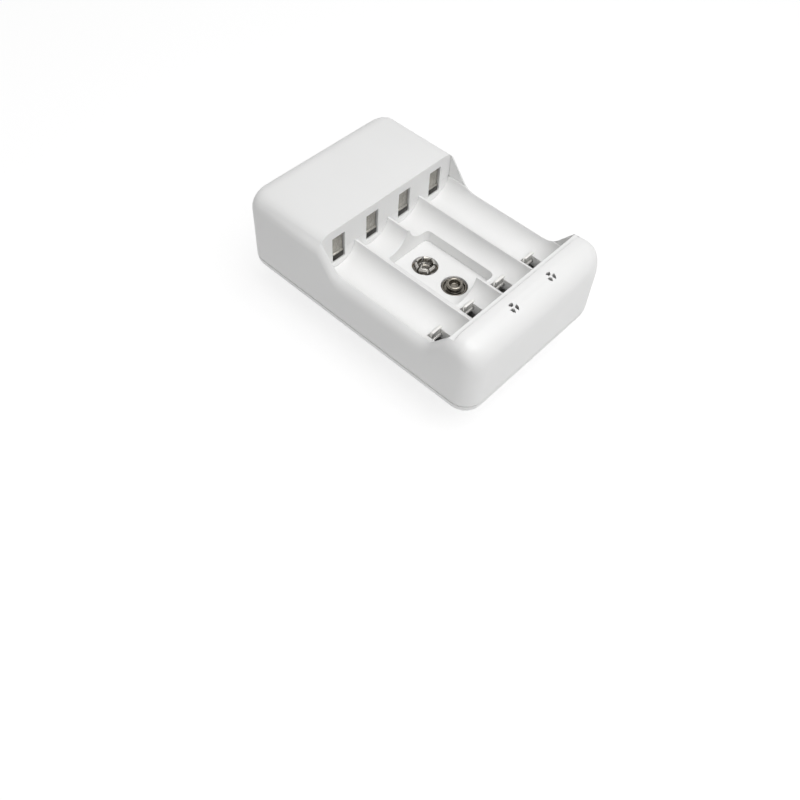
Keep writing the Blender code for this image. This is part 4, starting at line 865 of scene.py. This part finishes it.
@dataclass
class Electronics:
    """Boards, transformer, capacitor and lamps inside the housing."""

    finishes: dict[str, Finish] = field(default_factory=lambda: {
        "main_board": GREEN, "led_board": GREEN, "transformer_core": CORE, "transformer_winding": COPPER,
        "capacitor": CAN, "led_left": LAMP, "led_right": LAMP})

    def build(self, shop: Workshop) -> None:
        """Coats each node."""
        for node, finish in self.finishes.items():
            shop.coat(node, finish)


@dataclass
class Studio:
    """Pale floor, soft lamps and the camera."""

    floor_size: float = 4.0
    floor_height: float = -0.2 * MM
    grain: float = 2.0 * MM
    grain_shade: float = 0.02
    bounce: float = 0.84            # the floor's colour for the light that it throws back
    shown: float = 0.26             # its colour and glow where it is seen
    glow: float = 0.78
    key: float = 2.1
    key_size: float = 0.45
    key_place: Place = (-0.02, -0.20, 0.48)
    fill: float = 0.12
    fill_size: float = 0.5
    fill_place: Place = (0.45, 0.45, 0.60)
    room: float = 0.15              # the room's light at the horizon, and right above
    sky: float = 0.42
    azimuth: float = -50.61
    elevation: float = 53.53
    roll: float = 4.48
    distance: float = 0.26981
    slide: Point = (0.00156, 0.05173)
    target: Place = (0.0, 0.054, 0.017)
    growth: float = 1.03377         # from the size at which the camera was solved to the part's own
    lens: float = 38.63
    sensor: float = 36.0
    near: float = 0.01

    def floor(self) -> None:
        """A pale sheet that lights the object from below, shows nearly white and keeps its shadow."""
        span = np.linspace(-self.floor_size / 2, self.floor_size / 2, 3)
        x, y = np.meshgrid(span, span, indexing="ij")
        sheet = grid_piece("floor", np.stack([x, y, np.full_like(x, self.floor_height)], -1), False, False)
        g = Graph("floor_paper")
        seen = g.seen()
        grain = g.noise(g.place(), self.grain)
        paper = tuple(g.blend(grain, (*3 * (c,), 1.0), (*3 * (c + self.grain_shade,), 1.0))
                      for c in (self.bounce, self.shown))
        g.feed(Base_Color=g.blend(seen, *paper), Roughness=0.9,
               Emission_Color=g.blend(seen, BLACK, (*3 * (self.glow,), 1.0)), Emission_Strength=1.0)
        sheet.data.materials.append(g.material)

    def world(self) -> None:
        """Soft light that grows from the horizon upwards, and a white backdrop for the rays that show it."""
        g = Graph("room", True)
        direction = g.node("ShaderNodeTexCoord", out="Generated")
        up = g.node("ShaderNodeSeparateXYZ", inputs={0: direction}, out="Z")
        light = g.node("ShaderNodeMapRange", inputs={"Value": up, "To Min": self.room, "To Max": self.sky})
        g.feed(Color=g.blend(g.seen(), light, FULL_WHITE))
        bpy.context.scene.world = g.material

    def lamp(self, name: str, place: Place, size: float, power: float) -> None:
        """Adds one square soft lamp that faces the object.

        Args:
            name: its name.
            place: its middle.
            size: its side.
            power: its power in watts.
        """
        light = bpy.data.lights.new(name, "AREA")
        light.size = size
        light.energy = power
        lamp = bpy.data.objects.new(name, light)
        lamp.location = place
        lamp.rotation_euler = (-Vector(place)).to_track_quat("-Z", "Y").to_euler()
        bpy.context.scene.collection.objects.link(lamp)

    def camera(self) -> None:
        """The camera of the photograph's upper view, from its solved angles, distance and focal length."""
        az, el, r = (math.radians(a) for a in (self.azimuth, self.elevation, self.roll))
        back = Vector((math.sin(az) * math.cos(el), -math.cos(az) * math.cos(el), math.sin(el)))
        right = Vector((math.cos(az), math.sin(az), 0.0))
        up = back.cross(right)
        right, up = right * math.cos(r) + up * math.sin(r), up * math.cos(r) - right * math.sin(r)
        place = Vector(self.target) + back * self.distance - right * self.slide[0] - up * self.slide[1]
        data = bpy.data.cameras.new("camera")
        data.lens = self.lens
        data.sensor_width = self.sensor
        data.clip_start = self.near
        camera = bpy.data.objects.new("camera", data)
        turn = Matrix((right, up, back)).transposed().to_4x4()
        place = place * self.growth + Vector((0.0, NOSE_END, BACK_PLANE))
        camera.matrix_world = Matrix.Translation(place) @ turn
        bpy.context.scene.collection.objects.link(camera)
        bpy.context.scene.camera = camera

    def build(self) -> None:
        """Sets up the whole stage."""
        self.floor()
        self.world()
        self.lamp("key", self.key_place, self.key_size, self.key)
        self.lamp("fill", self.fill_place, self.fill_size, self.fill)
        self.camera()
        bpy.context.scene.view_settings.view_transform = "Standard"


def main() -> None:
    """Dresses the charger and sets the stage."""
    logging.basicConfig(level=logging.INFO, format="%(name)s: %(message)s")
    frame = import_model()
    shop = Workshop(frame)
    for assembly in (Shells(), CellContacts(), SnapPair(), PlugUnit(), Electronics()):
        assembly.build(shop)
    Studio().build()


if __name__ == "__main__":
    main()
